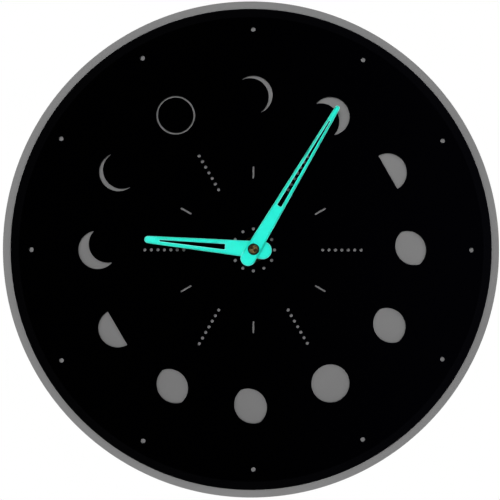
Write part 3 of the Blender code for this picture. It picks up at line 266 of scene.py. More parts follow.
# %% Geometry Nodes trees
def growing_tree(name, **sizes):
    """Starts a Geometry Nodes tree with a named input for each size, and gives its inputs."""
    global tree
    tree = bpy.data.node_groups.new(name, "GeometryNodeTree")

    def socket(label, kind, way="INPUT"):
        return tree.interface.new_socket(label.replace("_", " "), in_out=way, socket_type="NodeSocket" + kind)

    socket("Geometry", "Geometry")
    for label, size in sizes.items():
        socket(label, "Float").default_value = size
    socket("Finish", "Material")
    socket("Geometry", "Geometry", "OUTPUT")
    return tree.nodes.new("NodeGroupInput").outputs


def end_tree(geometry, given):
    """Every tree ends with its instances made real and its finish laid on."""
    real = step("GeometryNodeRealizeInstances", {"Geometry": geometry})
    dressed = step("GeometryNodeSetMaterial", {"Geometry": real, "Material": given["Finish"]})
    fill(tree.nodes.new("NodeGroupOutput"), {"Geometry": dressed})
    print(f"{tree.name} tree: {len(tree.nodes)} nodes")
    return tree


def grow(name, tree, mesh=None, **values):
    """Runs a tree on a mesh and returns the result as a plain mesh."""
    host = in_scene(name, mesh or bpy.data.meshes.new(name))
    modifier = host.modifiers.new(tree.name, "NODES")
    modifier.node_group = tree
    for socket in tree.interface.items_tree:
        label = socket.name.replace(" ", "_")
        if socket.in_out == "INPUT" and label in values:
            modifier[socket.identifier] = values[label]
    return plain_mesh(host)


# %% [markdown]
# ## Finishes
# A finish starts from a Principled shader. What is the same all over is typed straight into it. What changes
# over the surface comes from textures on object coordinates, which are in metres here, so a texture scale of
# 1000 gives detail about a millimetre across.

# %% Finishing helpers
def new_finish(name, colour, roughness, **more):
    """A material and its shader, which holds the values that are the same all over."""
    global tree
    finish = bpy.data.materials.new(name)
    finish.use_nodes = True
    finish.diffuse_color = (*colour, 1)
    tree = finish.node_tree
    shader = tree.nodes["Principled BSDF"]
    fill(shader, {"Base Color": (*colour, 1), "Roughness": roughness,
                  **{key.replace("_", " "): value for key, value in more.items()}})
    print("finish:", name)
    return finish, shader


def vector_maths(operation, *vectors, give="Vector"):
    return step("ShaderNodeVectorMath", dict(enumerate(vectors)), give, operation=operation)


def place_of(stretch=(1, 1, 1), centre=(0, 0, 0)):
    """Object coordinates, moved to a centre and stretched along each axis."""
    here = step("ShaderNodeTexCoord", give="Object")
    return vector_maths("MULTIPLY", vector_maths("SUBTRACT", here, centre), stretch)


def along(where, direction):
    return vector_maths("DOT_PRODUCT", where, direction, give="Value")


def length_of(vector):
    return vector_maths("LENGTH", vector, give="Value")


def round_hub():
    """Position across the axis of the hands. Its length is the distance from them."""
    return place_of((1, 0, 1), HUB)


def grain(where, scale, detail=2.0, rough=0.5):
    return step("ShaderNodeTexNoise", {"Vector": where, "Scale": scale, "Detail": detail, "Roughness": rough})


def span(value, low, high, to_low=0, to_high=1, interpolation="LINEAR"):
    return step("ShaderNodeMapRange", {"Value": value, "From Min": low, "From Max": high,
                                       "To Min": to_low, "To Max": to_high},
                interpolation_type=interpolation)


def soft_span(value, low, high):
    return span(value, low, high, interpolation="SMOOTHSTEP")


def evened(noise, low=0, high=1):
    """Noise keeps near its middle. This spreads it over a range."""
    return span(noise, 0.3, 0.7, low, high)


def blend(share, first, second):
    """Mixes two colours, each a node's output or a colour of three numbers."""
    colours = [(*colour, 1) if isinstance(colour, tuple) else colour for colour in (first, second)]
    return step("ShaderNodeMix", {0: share, 6: colours[0], 7: colours[1]}, 2, data_type="RGBA")


def lay_on(shader, colour, roughness, height, depth, strength=1.0):
    """Colour, roughness and a relief whose full height is depth metres, all from textures."""
    bump = step("ShaderNodeBump", {"Strength": strength, "Distance": depth, "Height": height})
    fill(shader, {"Base Color": colour, "Roughness": roughness, "Normal": bump})


def tinted(colour, factor):
    return tuple(part * factor for part in colour)


# %% [markdown]
# ### Polished black sheet
# The face is cast acrylic, black all through and as smooth as glass, so its look comes from what it mirrors.
# A fine haze from polishing changes its roughness a little, and the border outside the moons is painted a
# touch lighter, a painted sheen.

# %% Polished black sheet
ACRYLIC_IOR = 1.49
SHEEN_BAND_RADIUS = 0.140
DEEP_BLACK = (0.0001, 0.0001, 0.0002)
PAINTED_SHEEN_BLACK = (0.0011, 0.0011, 0.0014)
black_sheet, shader = new_finish("black_acrylic", (0.0002, 0.0002, 0.0003), 0.06, IOR=ACRYLIC_IOR)
where = place_of()
# Painted sheen: outside this radius the black is painted a touch lighter.
border = soft_span(length_of(round_hub()), SHEEN_BAND_RADIUS - 0.0004, SHEEN_BAND_RADIUS + 0.0004)
lay_on(shader, blend(border, DEEP_BLACK, PAINTED_SHEEN_BLACK), evened(grain(where, 60, 4), 0.045, 0.075),
       grain(where, 25, 1), 0.00001, 0.25)

# %% [markdown]
# ### Satin grey sheet
# The backing is grey acrylic with a satin face, which shows as the rim and as the moons. Satin scatters
# light evenly, so it stays quiet: a faint cloudiness and a fine tooth. On the front, the ring where the
# moons lie is painted a little darker than the rim, most of all at the lower left: painted shade. The laser
# leaves cut edges smoother than the face, and an attribute on the mesh tells one from the other. The cut
# edges are also painted a lighter grey, a painted glow.

# %% Satin grey sheet
GREY = (0.212, 0.211, 0.212)
GREY_ROUGHNESS, CUT_ROUGHNESS = 0.6, 0.25
RING_STARTS, RING_ENDS = (0.070, 0.078), (0.108, 0.118)
UPPER_RIGHT = (1, 0, 1.5)
MOST_PAINTED_SHADE, LEAST_PAINTED_SHADE = 0.18, 0.03


def cut_edge():
    return step("ShaderNodeAttribute", give="Fac", attribute_name="cut_edge")


grey_sheet, shader = new_finish("grey_acrylic", GREY, GREY_ROUGHNESS, IOR=ACRYLIC_IOR)
where, flat = place_of(), round_hub()
distance = length_of(flat)
# Painted shade: on the front, the moon ring is darkened, most towards the lower left.
painted_shade_ring = times(span(distance, *RING_STARTS), span(distance, *RING_ENDS, 1, 0))
painted_shade_amount = span(along(flat, UPPER_RIGHT), -0.15, 0.13, MOST_PAINTED_SHADE, LEAST_PAINTED_SHADE)
rear, front = levels("backing_disc")
on_front = span(along(where, (0, -1, 0)), (rear + front) / 2, front)
clouded = blend(evened(grain(where, 40, 5)), tinted(GREY, 0.97), tinted(GREY, 1.03))
face_colour = blend(times(painted_shade_ring, painted_shade_amount, on_front), clouded, (0.0, 0.0, 0.0))
# Painted glow: the cut edges get a lighter grey.
lay_on(shader, blend(cut_edge(), face_colour, tinted(GREY, 1.12)),
       span(cut_edge(), 0, 1, GREY_ROUGHNESS, CUT_ROUGHNESS), grain(where, 4000, 3), 0.00002, 0.35)

# %% [markdown]
# ### Bright turquoise sheet
# The hands are cut from turquoise acrylic. Light that enters the sheet leaves again at its cut edges, which
# look lighter than the faces for that reason, so the edge attribute paints their colour lighter: a painted
# glow.

# %% Bright turquoise sheet
TURQUOISE = (0.020, 0.885, 0.715)
PAINTED_EDGE_GLOW = (0.20, 0.88, 0.76)
turquoise_sheet, shader = new_finish("turquoise_acrylic", TURQUOISE, 0.14, IOR=ACRYLIC_IOR)
where = place_of()
face_colour = blend(evened(grain(where, 150, 4)), tinted(TURQUOISE, 0.96), tinted(TURQUOISE, 1.02))
# Painted glow: the cut edges and a narrow band beside them get a lighter turquoise.
lay_on(shader, blend(cut_edge(), face_colour, PAINTED_EDGE_GLOW), evened(grain(where, 300, 3), 0.10, 0.18),
       grain(where, 1500, 2), 0.000008, 0.3)

# %% [markdown]
# ### Turned brass
# Brass from a lathe keeps fine rings round its axis, which stretch each highlight into a band. They are a
# wave of the distance from the axis. Thin tarnish in soft patches makes the metal darker and duller. The
# foot of the hand nut is painted nearly black, a painted shade, and the washer deep between hands and dial
# gets the darkest brass, also painted shade.

# %% Turned brass
RING_PITCH = 0.00016
RING_WOBBLE = 0.00006


def brass(name, fresh, tarnish, rough=0.2, ring_depth=0.000002, shade_radius=1.0):
    """Brass turned about the axis of the hands. Beyond the given radius it is painted nearly black: painted
    shade.
    """
    finish, shader = new_finish(name, fresh, rough, Metallic=1.0)
    where = place_of(centre=HUB)
    distance = length_of(round_hub())
    wobble = maths("MULTIPLY_ADD", grain(where, 500, 2), RING_WOBBLE, distance)
    rings = maths("SINE", times(wobble, tau / RING_PITCH))
    patches = soft_span(grain(where, 420, 4), 0.4, 0.6)
    # Painted shade: beyond the given radius the colour is a tenth of the tarnish.
    painted_shade_mask = soft_span(distance, shade_radius - 0.0001, shade_radius + 0.0001)
    lay_on(shader, blend(painted_shade_mask, blend(patches, fresh, tarnish), tinted(tarnish, 0.1)),
           span(maths("MAXIMUM", patches, painted_shade_mask), 0, 1, rough, rough + 0.15), rings, ring_depth)
    return finish


nut_brass = brass("brass", (0.63, 0.47, 0.19), (0.37, 0.20, 0.09), ring_depth=0.000016, shade_radius=0.0025)
washer_brass = brass("washer_brass", (0.34, 0.22, 0.10), (0.20, 0.13, 0.06), rough=0.14)
# Painted shade: the washer deep between hands and dial gets this darkened brass.
dark_brass = brass("dark_brass", (0.13, 0.085, 0.04), (0.06, 0.038, 0.018))

# %% [markdown]
# ### Moulded plastics
# The case is moulded in black, in a mould whose steel was eroded to an even fine texture. The wheels and the
# setting knob are white acetal, smooth and slightly waxy. Moulding leaves faint flow clouds, and handling
# rubs the texture a little smoother in places.

# %% Moulded plastics
def moulding(name, colour, rough, tooth, depth, cloud_scale=120, change=0.08, **more):
    """Moulded plastic: tooth is the scale of its texture, depth how deep that is, and change how cloudy."""
    finish, shader = new_finish(name, colour, rough, **more)
    where = place_of()
    clouds = evened(grain(where, cloud_scale, 4))
    rubbed = span(grain(where, cloud_scale / 3, 3), 0.35, 0.65, rough - 0.08, rough + 0.06)
    lay_on(shader, blend(clouds, tinted(colour, 1 - change), tinted(colour, 1 + change)), rubbed,
           grain(where, tooth, 2, 0.6), depth, 0.6)
    return finish


case_plastic = moulding("case_plastic", (0.021, 0.021, 0.023), 0.46, 5200, 0.00004, IOR=1.53)
white_plastic = moulding("white_acetal", (0.72, 0.72, 0.69), 0.38, 1400, 0.000008, change=0.03,
                         Subsurface_Weight=0.12, Subsurface_Scale=0.0008)
rubber = moulding("rubber", (0.018, 0.018, 0.018), 0.78, 2600, 0.00003)
resin = moulding("black_resin", (0.014, 0.014, 0.015), 0.26, 700, 0.00003, cloud_scale=400)

# %% [markdown]
# ### Metals of the movement
# Screws are zinc plated, contacts and the crystal's can are nickel plated, the motor's core and stator are
# annealed iron sheet, and its magnet is sintered from powder. Rolled sheet shows streaks along one way, so
# its noise is stretched. Powder shows as even speckle.

# %% Metals of the movement
def metal(name, colour, rough, scale, stretch=(1, 1, 1), dull=0.7, metallic=1.0, depth=0.000006):
    """Plated, rolled or sintered metal: stretch draws its noise into streaks, and dull darkens patches."""
    finish, shader = new_finish(name, colour, rough, Metallic=metallic)
    streaks = grain(place_of(stretch), scale, 4, 0.6)
    bright = evened(streaks)
    lay_on(shader, blend(bright, tinted(colour, dull), colour), span(bright, 0, 1, rough + 0.12, rough),
           streaks, depth, 0.6)
    return finish


steel = metal("steel", (0.56, 0.57, 0.58), 0.3, 900)
nickel = metal("nickel_plate", (0.66, 0.63, 0.57), 0.24, 700, (0.12, 1, 1))
soft_iron = metal("soft_iron", (0.33, 0.32, 0.31), 0.46, 800, (0.08, 1, 1), 0.6)
magnet = metal("magnet", (0.07, 0.07, 0.075), 0.5, 6000, dull=0.5, metallic=0.7, depth=0.00002)
copper = metal("enamelled_copper", (0.58, 0.19, 0.06), 0.24, 900, (1, 0.3, 0.3), 0.65)
cell_can = metal("cell_can", (0.62, 0.61, 0.58), 0.22, 400)

# %% [markdown]
# ### Circuit board
# The board is laminate under green solder mask. Copper tracks lie below the mask and lift it a little, so
# they show as lighter green lines. The mortar lines of a brick texture run and turn as tracks do.

# %% Circuit board
MASK_GREEN, TRACK_GREEN = (0.018, 0.15, 0.055), (0.045, 0.27, 0.10)
board_green, shader = new_finish("board_green", (0.02, 0.16, 0.06), 0.32)
upright = step("ShaderNodeVectorRotate", {"Vector": place_of((1, 0, 1)), "Angle": pi / 2},
               rotation_type="X_AXIS")
tracks = step("ShaderNodeTexBrick", {"Vector": upright, "Scale": 260, "Mortar Size": 0.045,
                                     "Mortar Smooth": 0.2, "Brick Width": 0.9, "Row Height": 0.28},
              "Fac", offset=0.37)
lay_on(shader, blend(tracks, MASK_GREEN, TRACK_GREEN), 0.32, tracks, 0.00003, 0.8)

# %% [markdown]
# ### Cell sleeve
# The battery wears a printed shrink sleeve: dark, with one plain pale band near its plus end. Position along
# the cell picks the colour, and faint wrinkles run round it where the sleeve shrank.

# %% Cell sleeve
cell_low, cell_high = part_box("battery")
BAND_START, BAND_END = cell_high.x - 0.0105, cell_high.x - 0.0065
SLEEVE_DARK, SLEEVE_BAND = (0.035, 0.045, 0.06), (0.55, 0.55, 0.52)
cell_sleeve, shader = new_finish("cell_sleeve", (0.05, 0.06, 0.07), 0.3)
reach = along(place_of(), (1, 0, 0))
in_band = times(maths("GREATER_THAN", reach, BAND_START), maths("LESS_THAN", reach, BAND_END))
wrinkles = grain(place_of((4, 0.6, 0.6)), 160, 3)
lay_on(shader, blend(in_band, SLEEVE_DARK, SLEEVE_BAND), evened(wrinkles, 0.24, 0.36), wrinkles, 0.00004, 0.5)

# %% [markdown]
# ## The face sheet
# The face is one millimetre of black sheet with every mark cut right through it, so that the grey backing
# shows. Its marks follow rules, which suits Geometry Nodes: rings of dots, rows made of rings of six dots,
# and a ring of dashes. One tree makes dots on rings by index arithmetic, adds the dashes, joins the outlines
# of the rim and the moons, fills the drawing with its holes left open, and gives it its thickness. Only the
# moons are drawn in code, because each phase is its own outline.

# %% Draw the moons
MOON_CIRCLE, MOON_RADIUS, MOON_TILT = 0.0933, 0.0116, radians(30)
CRESCENT_TRIM, BEAM_WIDTH = 0.0005, 0.00045
NEW_MOON_LINE = 0.00104
THIN, WIDE = 0.00210, 0.0067
LARGE, SMALL = 0.0039, 0.0050
HALF_SHIFT = 0.0008


def turned_outline(points, angle, centre=(0, 0)):
    return [(x * cos(angle) - y * sin(angle) + centre[0], x * sin(angle) + y * cos(angle) + centre[1])
            for x, y in points]


def circle_crossing(shift, shadow_radius):
    """Directions of the upper crossing of a moon with a second circle, seen from each centre."""
    crossing = (shift ** 2 + MOON_RADIUS ** 2 - shadow_radius ** 2) / (2 * shift)
    cusp = sqrt(MOON_RADIUS ** 2 - crossing ** 2)
    return atan2(cusp, crossing), atan2(cusp, crossing - shift)


def crescent(shift):
    """A crescent whose tips end where they have thinned to the width of the cutting beam."""
    shadow_radius = MOON_RADIUS - CRESCENT_TRIM
    limb, edge = circle_crossing(-shift, shadow_radius)
    length = BEAM_WIDTH / (2 * tan((limb - edge) / 2))
    limb, edge = limb - length / MOON_RADIUS, edge - length / shadow_radius
    return arc(MOON_RADIUS, -limb, limb) + arc(shadow_radius, edge, -edge, (-shift, 0))


def gibbous(shift):
    limb, edge = circle_crossing(shift, MOON_RADIUS)
    return arc(MOON_RADIUS, -limb, limb) + arc(MOON_RADIUS, edge, tau - edge, (shift, 0))[1:-1]


def moon_centre(hour):
    angle = pi / 2 - tau * hour / 12
    return MOON_CIRCLE * cos(angle), MOON_CIRCLE * sin(angle)


half_moon = arc(MOON_RADIUS, -pi / 2, pi / 2, (HALF_SHIFT, 0))
full_moon = circle(MOON_RADIUS)
waxing = [crescent(THIN), crescent(WIDE), half_moon, gibbous(SMALL), gibbous(LARGE), full_moon]
waning = [gibbous(LARGE), gibbous(SMALL), half_moon, crescent(WIDE), crescent(THIN), full_moon]
moons = [turned_outline(outline, MOON_TILT + pi * (hour > 5), moon_centre(hour))
         for hour, outline in enumerate(waxing + waning)]
print("twelve moons drawn with", sum(len(outline) for outline in moons), "points")

# %% Shapes on rings
def on_rings(shape, count, first, rings=1, pitch=0.0, phase=0.0, radial=False):
    """A shape evenly round each of several rings. A radial one is turned along its radius."""
    index = step("GeometryNodeInputIndex")
    ring = maths("FLOOR", maths("DIVIDE", maths("ADD", index, 0.5), count))
    angle = maths("MULTIPLY_ADD", maths("DIVIDE", index, count), tau, phase)
    out = maths("MULTIPLY_ADD", ring, pitch, first)
    spot = step("ShaderNodeCombineXYZ", {0: times(out, maths("COSINE", angle)),
                                         1: times(out, maths("SINE", angle))})
    spots = step("GeometryNodePoints", {"Count": times(count, rings), "Position": spot})
    turn = step("ShaderNodeCombineXYZ", {2: angle if radial else 0.0})
    return step("GeometryNodeInstanceOnPoints", {"Points": spots, "Instance": shape, "Rotation": turn})


def disc(radius, sides=32):
    return step("GeometryNodeCurvePrimitiveCircle", {"Resolution": sides, "Radius": radius})


given = growing_tree(
    "cut_sheet", Thickness=MM, Outer_ring=0.1327, Outer_dot=0.00143, Hub_ring=0.0127, Hub_dot=0.00098,
    Row_dots=7.0, Row_start=0.04186, Row_pitch=0.00389, Row_dot=0.00099, Dash_ring=0.0467,
    Dash_length=0.0075, Dash_width=0.0011)
outer_dots = on_rings(disc(given["Outer dot"], 40), 12, given["Outer ring"])
hub_dots = on_rings(disc(given["Hub dot"]), 12, given["Hub ring"])
row_dots = on_rings(disc(given["Row dot"]), 6, given["Row start"], given["Row dots"], given["Row pitch"])
box = step("GeometryNodeCurvePrimitiveQuadrilateral", {"Width": given["Dash length"],
                                                       "Height": given["Dash width"]})
dash = step("GeometryNodeFilletCurve", {"Curve": box, "Count": 8,
                                        "Radius": times(given["Dash width"], 0.4999)}, mode="POLY")
dashes = on_rings(dash, 6, given["Dash ring"], phase=pi / 6, radial=True)

# %% Fill the drawing and raise it
drawn = step("GeometryNodeMeshToCurve", {"Mesh": given["Geometry"]})
drawing = step("GeometryNodeJoinGeometry", {0: [drawn, outer_dots, hub_dots, row_dots, dashes]})
filled = step("GeometryNodeFillCurve", {0: step("GeometryNodeRealizeInstances", {0: drawing})})
raised = step("GeometryNodeExtrudeMesh", {"Mesh": filled, "Offset Scale": given["Thickness"],
                                          "Individual": False})
underside = step("GeometryNodeFlipFaces", {"Mesh": filled})
both = step("GeometryNodeJoinGeometry", {0: [raised, underside]})
cut_sheet = end_tree(step("GeometryNodeMergeByDistance", {"Geometry": both, "Distance": SEAM}), given)


# %% Cut the face
def line_drawing(name, outlines):
    """Closed outlines as a mesh of edges."""
    points, lines = [], []
    for outline in outlines:
        first = len(points)
        points += [(x, y, 0) for x, y in outline]
        lines += [(first + index, first + (index + 1) % len(outline)) for index in range(len(outline))]
    return new_mesh(name, points, lines)


FACE_REAR, FACE_FRONT = levels("face_panel")
HUB_HOLE = 0.0043
RIM_SIDES = 480
rim = circle(half_width("face_panel"), RIM_SIDES)
drawing = line_drawing("face_drawing", [rim, circle(HUB_HOLE)] + moons)
face = grow("face", cut_sheet, drawing, Thickness=FACE_FRONT - FACE_REAR, Finish=black_sheet)
face.transform(Matrix.Translation((0, 0, FACE_REAR)))
piece("cut_face_sheet", face, "face_panel", black_sheet)

# %% [markdown]
# ## Backing, new moon and hands
# The backing's edge is the clock's outline, so it gets a true circle and a broken edge. The new moon's black
# disc lies in its window, and the grey left round it is the thin ring. A hand is the outline round a small
# circle at the tip and a larger one at the tail, with a long tapered slot. Its bevel is very narrow, because
# a wide one mirrors the bright side of the room as a pale line. An attribute marks the cut edges for the
# finishes, except near the hub, where they lie in shadow.

# %% Backing and new moon
BORE = (0, 0, 0.0045)
FACING, SLANTED = 0.9, 0.4


def mark_edges(mesh, border, dull=(BORE,)):
    """Marks points on cut edges outside the dull circles (x, y, radius); the finishes paint a glow there. The
    mark fades over the border.
    """
    with editing(mesh) as work:
        for side in (-1, 1):
            flat = [face for face in work.faces if face.normal.z * side > FACING]
            bmesh.ops.inset_region(work, faces=flat, thickness=border, use_even_offset=True,
                                   use_boundary=True)
        marks = work.verts.layers.float.new("cut_edge")
        for point in work.verts:
            slanted = any(hypot(face.normal.x, face.normal.y) > SLANTED for face in point.link_faces)
            clear = all(hypot(point.co.x - x, point.co.y - y) > reach for x, y, reach in dull)
            point[marks] = float(slanted and clear)
    return mesh


SHEET_GAP = 0.00005
# The second number is the width of the band over which the painted glow fades.
BACKING_EDGE, BACKING_PAINTED_GLOW = 0.0002, 0.0001
backing = sheet("backing", [circle(half_width("backing_disc"), RIM_SIDES), circle(HUB_HOLE)],
                levels("backing_disc")[0], FACE_REAR - SHEET_GAP, BACKING_EDGE)
piece("backing_sheet", mark_edges(backing, BACKING_PAINTED_GLOW), "backing_disc", grey_sheet)
new_moon = sheet("new_moon", [circle(MOON_RADIUS - NEW_MOON_LINE, 96, moon_centre(11))], FACE_REAR,
                 FACE_FRONT)
piece("new_moon_plug", new_moon, "new_moon_disc", black_sheet)

# %% Outlines of the hands
SLOT_CORNER = 0.0006


def between(start, end, steps=60):
    """Points along a straight edge, its ends left out."""
    shares = [index / steps for index in range(1, steps)]
    return [tuple(a + (b - a) * share for a, b in zip(start, end)) for share in shares]


def hand_edge(tip, tail):
    """Outline round the tip and tail circles, each given as (distance from the axis, radius)."""
    lean = asin((tail[1] - tip[1]) / (tip[0] + tail[0]))
    tip_arc = arc(tip[1], lean, pi - lean, (0, tip[0]))
    tail_arc = arc(tail[1], pi - lean, tau + lean, (0, -tail[0]))
    return tip_arc + between(tip_arc[-1], tail_arc[0]) + tail_arc + between(tail_arc[-1], tip_arc[0])


def tapered_slot(start, end, wide, narrow):
    right = arc(SLOT_CORNER, -pi / 2, 0, (wide / 2 - SLOT_CORNER, start + SLOT_CORNER), radians(10))
    left = arc(SLOT_CORNER, pi, 3 * pi / 2, (SLOT_CORNER - wide / 2, start + SLOT_CORNER), radians(10))
    return right + arc(narrow / 2, 0, pi, (0, end - narrow / 2), radians(20)) + left


hour_outlines = [hand_edge((0.0626, 0.00215), (0.0056, 0.0053)), tapered_slot(0.0170, 0.0558, 0.0033, 0.0008)]
minute_outlines = [hand_edge((0.0972, 0.0015), (0.0062, 0.0045)),
                   tapered_slot(0.0298, 0.0884, 0.00275, 0.0006)]
print("outlines drawn for both hands")

# %% Hour hand
# The third number is the width of the band over which the painted glow fades.
HAND_THICKNESS, HAND_EDGE, HAND_PAINTED_GLOW = 0.001, 0.00006, 0.0007
HOUR_ANGLE, MINUTE_ANGLE = radians(275.3), radians(30.7)
TUBE_HOLE = 0.0028
COLLET_RADIUS, COLLET_EDGE = 0.0037, 0.0001


def hand(name, angle, outlines, front, dull=(BORE,)):
    mesh = sheet(name, [turned_outline(points, -angle) for points in outlines], front - HAND_THICKNESS,
                 front, HAND_EDGE)
    return mark_edges(mesh, HAND_PAINTED_GLOW, dull)


edge, slot = hour_outlines
rear, front = levels("hour_hand")
collet_front = front - HAND_THICKNESS
hour = hand("hour", HOUR_ANGLE, [edge, circle(TUBE_HOLE, 48), slot], front)
collet = turned("collet", [(TUBE_HOLE, collet_front), (COLLET_RADIUS, collet_front),
                           (COLLET_RADIUS, rear + COLLET_EDGE), (COLLET_RADIUS - COLLET_EDGE, rear),
                           (TUBE_HOLE, rear)], 64)
piece("hour_hand_sheet", joined(hour, mark_edges(collet, COLLET_EDGE)), "hour_hand", turquoise_sheet,
      body="hour_motion")

# %% [markdown]
# The minute hand fits a pipe with two flats. Where it lies over the hour hand its edges are left dull too.

# %% Minute hand
PIPE_HOLE, PIPE_FLAT = 0.0018, 0.0014
OVER_HOUR_HAND = [(0, 0, 0.0062), (0.0056, -0.0005, 0.0056)]
flat_reach = atan2(sqrt(PIPE_HOLE ** 2 - PIPE_FLAT ** 2), PIPE_FLAT)
flatted = arc(PIPE_HOLE, flat_reach, pi - flat_reach) + arc(PIPE_HOLE, pi + flat_reach, tau - flat_reach)
edge, slot = minute_outlines
minute = hand("minute", MINUTE_ANGLE, [edge, flatted, slot], levels("minute_hand")[1], OVER_HOUR_HAND)
piece("minute_hand_sheet", minute, "minute_hand", turquoise_sheet, body="minute_motion")

# %% [markdown]
# ## Threads and knurls
# To a lathe, a thread and a knurl are the same thing: a ridge that repeats, so many times a turn and so many
# times a metre along. One tree works out where each point of a turned piece stands in that repeat, and
# pushes it inwards between ridges. A knurl has many ridges round and none along, and a thread has one round
# and many along. Only points between two heights and beyond a least radius move, so bores and faces stay
# true.

# %% A tree for ridges
given = growing_tree("ridges", Round=1.0, Along=0.0, Depth=0.0002, From_height=0.0, To_height=1.0,
                     Least_radius=0.0)
spot = step("GeometryNodeInputPosition")
x, y, z = step("ShaderNodeSeparateXYZ", {0: spot}).node.outputs
radius = maths("SQRT", maths("ADD", times(x, x), times(y, y)))
share = maths("DIVIDE", maths("ARCTAN2", y, x), tau)
phase = maths("MULTIPLY_ADD", share, given["Round"], times(z, given["Along"]))
ridge = times(maths("PINGPONG", phase, 0.5), 2.0)
chosen = times(maths("GREATER_THAN", radius, given["Least radius"]),
               maths("GREATER_THAN", z, given["From height"]),
               maths("LESS_THAN", z, given["To height"]))
inward = times(ridge, given["Depth"], chosen)
scale = maths("SUBTRACT", 1.0, maths("DIVIDE", inward, maths("MAXIMUM", radius, 1e-6)))
moved = step("ShaderNodeCombineXYZ", {0: times(x, scale), 1: times(y, scale), 2: z})
ridged = step("GeometryNodeSetPosition", {"Geometry": given["Geometry"], "Position": moved})
ridges = end_tree(ridged, given)

# %% [markdown]
# ## Hub fittings
# A threaded brass bushing comes through both sheets, and a washer and a six-sided nut clamp them to the
# movement. In front of the hands sits a small round nut with a knurled foot. The six-sided nut is a turned
# piece whose reach changes with the angle, and a cone chamfers its corners: the further a corner reaches
# out, the lower its edge comes.

# %% Bushing
BUSHING_BORE, BUSHING_RADIUS, BUSHING_CHAMFER = 0.0028, 0.004, 0.0003
FLANGE_RADIUS, FLANGE_EDGE, FLANGE_THICKNESS = 0.006, 0.0002, 0.001
THREAD_PITCH, THREAD_DEPTH, STEPS_IN_PITCH = 0.00075, 0.00035, 6
rear, front = levels("threaded_bushing")
flange_front, thread_end = rear + FLANGE_THICKNESS, front - BUSHING_CHAMFER
side = (BUSHING_RADIUS, thread_end), (BUSHING_RADIUS, flange_front)
steps = round((thread_end - flange_front) / THREAD_PITCH * STEPS_IN_PITCH)
profile = [(BUSHING_BORE, front), (BUSHING_RADIUS - BUSHING_CHAMFER, front),
           side[0], *between(*side, steps), side[1],
           (FLANGE_RADIUS - FLANGE_EDGE, flange_front), (FLANGE_RADIUS, flange_front - FLANGE_EDGE),
           (FLANGE_RADIUS, rear), (BUSHING_BORE, rear)]
bushing = grow("bushing", ridges, turned("bushing", profile, 48), Along=1 / THREAD_PITCH, Depth=THREAD_DEPTH,
               From_height=flange_front + 0.0004, To_height=front - BUSHING_CHAMFER / 2,
               Least_radius=0.0035, Finish=washer_brass)
piece("bushing_with_thread", bushing, "threaded_bushing", washer_brass, slot="brass")


# %% Washers
def broken_ring(name, bore, radius, rear, front, edge):
    """A washer whose four edges are broken."""
    return turned(name, [(bore, front - edge), (bore + edge, front), (radius - edge, front),
                         (radius, front - edge), (radius, rear + edge), (radius - edge, rear),
                         (bore + edge, rear), (bore, rear + edge)])


piece("turned_washer", broken_ring("washer", HUB_HOLE, 0.0075, *levels("dial_washer"), 0.0001),
      "dial_washer", dark_brass, slot="brass")
piece("soft_washer", broken_ring("soft", HUB_HOLE, 0.009, *levels("rubber_washer"), 0.00025),
      "rubber_washer", rubber)

# %% Six-sided nut
NUT_FLAT, NUT_FACE, NUT_EDGE = 0.0055, 0.0053, 0.0002
NUT_SLOPE = tan(radians(28))


def nut_mesh(rear, front, bore, sides=120):
    rings = []
    for side in range(sides):
        angle = tau * side / sides
        reach = NUT_FLAT / cos(angle % (pi / 3) - pi / 6)
        drop = (reach - NUT_FACE) * NUT_SLOPE
        profile = [(bore, front - NUT_EDGE), (bore + NUT_EDGE, front), (NUT_FACE, front),
                   (reach, front - drop), (reach, rear + drop), (NUT_FACE, rear), (bore + NUT_EDGE, rear),
                   (bore, rear + NUT_EDGE)]
        rings.append([(out * cos(angle), out * sin(angle), height) for out, height in profile])
    count = len(rings[0])
    faces = [(side * count + index, side * count + (index + 1) % count,
              (side + 1) % sides * count + (index + 1) % count, (side + 1) % sides * count + index)
             for side in range(sides) for index in range(count)]
    return closed(new_mesh("nut", [point for ring in rings for point in ring], faces=faces))


piece("chamfered_nut", nut_mesh(*levels("hex_nut"), HUB_HOLE), "hex_nut", washer_brass, slot="brass")

# %% Round hand nut
FOOT_RADIUS, FOOT_HEIGHT, FOOT_EDGE = 0.00345, 0.0005, 0.0001
CROWN_RADIUS, CROWN_EDGE = 0.0029, 0.0006
DOME_DROP, NUT_FLOOR = 0.0002, 0.0005
foot_rear, crown = levels("hand_nut")
foot_front = foot_rear + FOOT_HEIGHT
corner = CROWN_RADIUS - CROWN_EDGE
dome = [(corner * share, crown - DOME_DROP * share ** 2) for share in (0, 0.2, 0.4, 0.6, 0.8)]
rounding = at_turns(CROWN_EDGE, [radians(angle) for angle in range(80, -1, -10)],
                    (corner, crown - DOME_DROP - CROWN_EDGE))
foot = [(CROWN_RADIUS, foot_front + FOOT_EDGE), (CROWN_RADIUS + FOOT_EDGE, foot_front),
        (FOOT_RADIUS - FOOT_EDGE, foot_front), (FOOT_RADIUS, foot_front - FOOT_EDGE),
        (FOOT_RADIUS, foot_rear + FOOT_EDGE), (FOOT_RADIUS - FOOT_EDGE, foot_rear)]
inside = [(PIPE_HOLE, foot_rear), (PIPE_HOLE, crown - NUT_FLOOR), (0, crown - NUT_FLOOR)]
hand_nut = grow("hand_nut", ridges, turned("hand_nut", dome + rounding + foot + inside, 160), Round=40.0,
                Depth=0.00012, From_height=foot_rear - MM, To_height=foot_front + FOOT_EDGE / 2,
                Least_radius=CROWN_RADIUS + 2 * FOOT_EDGE, Finish=nut_brass)
piece("knurled_hand_nut", hand_nut, "hand_nut", nut_brass, body="minute_motion")

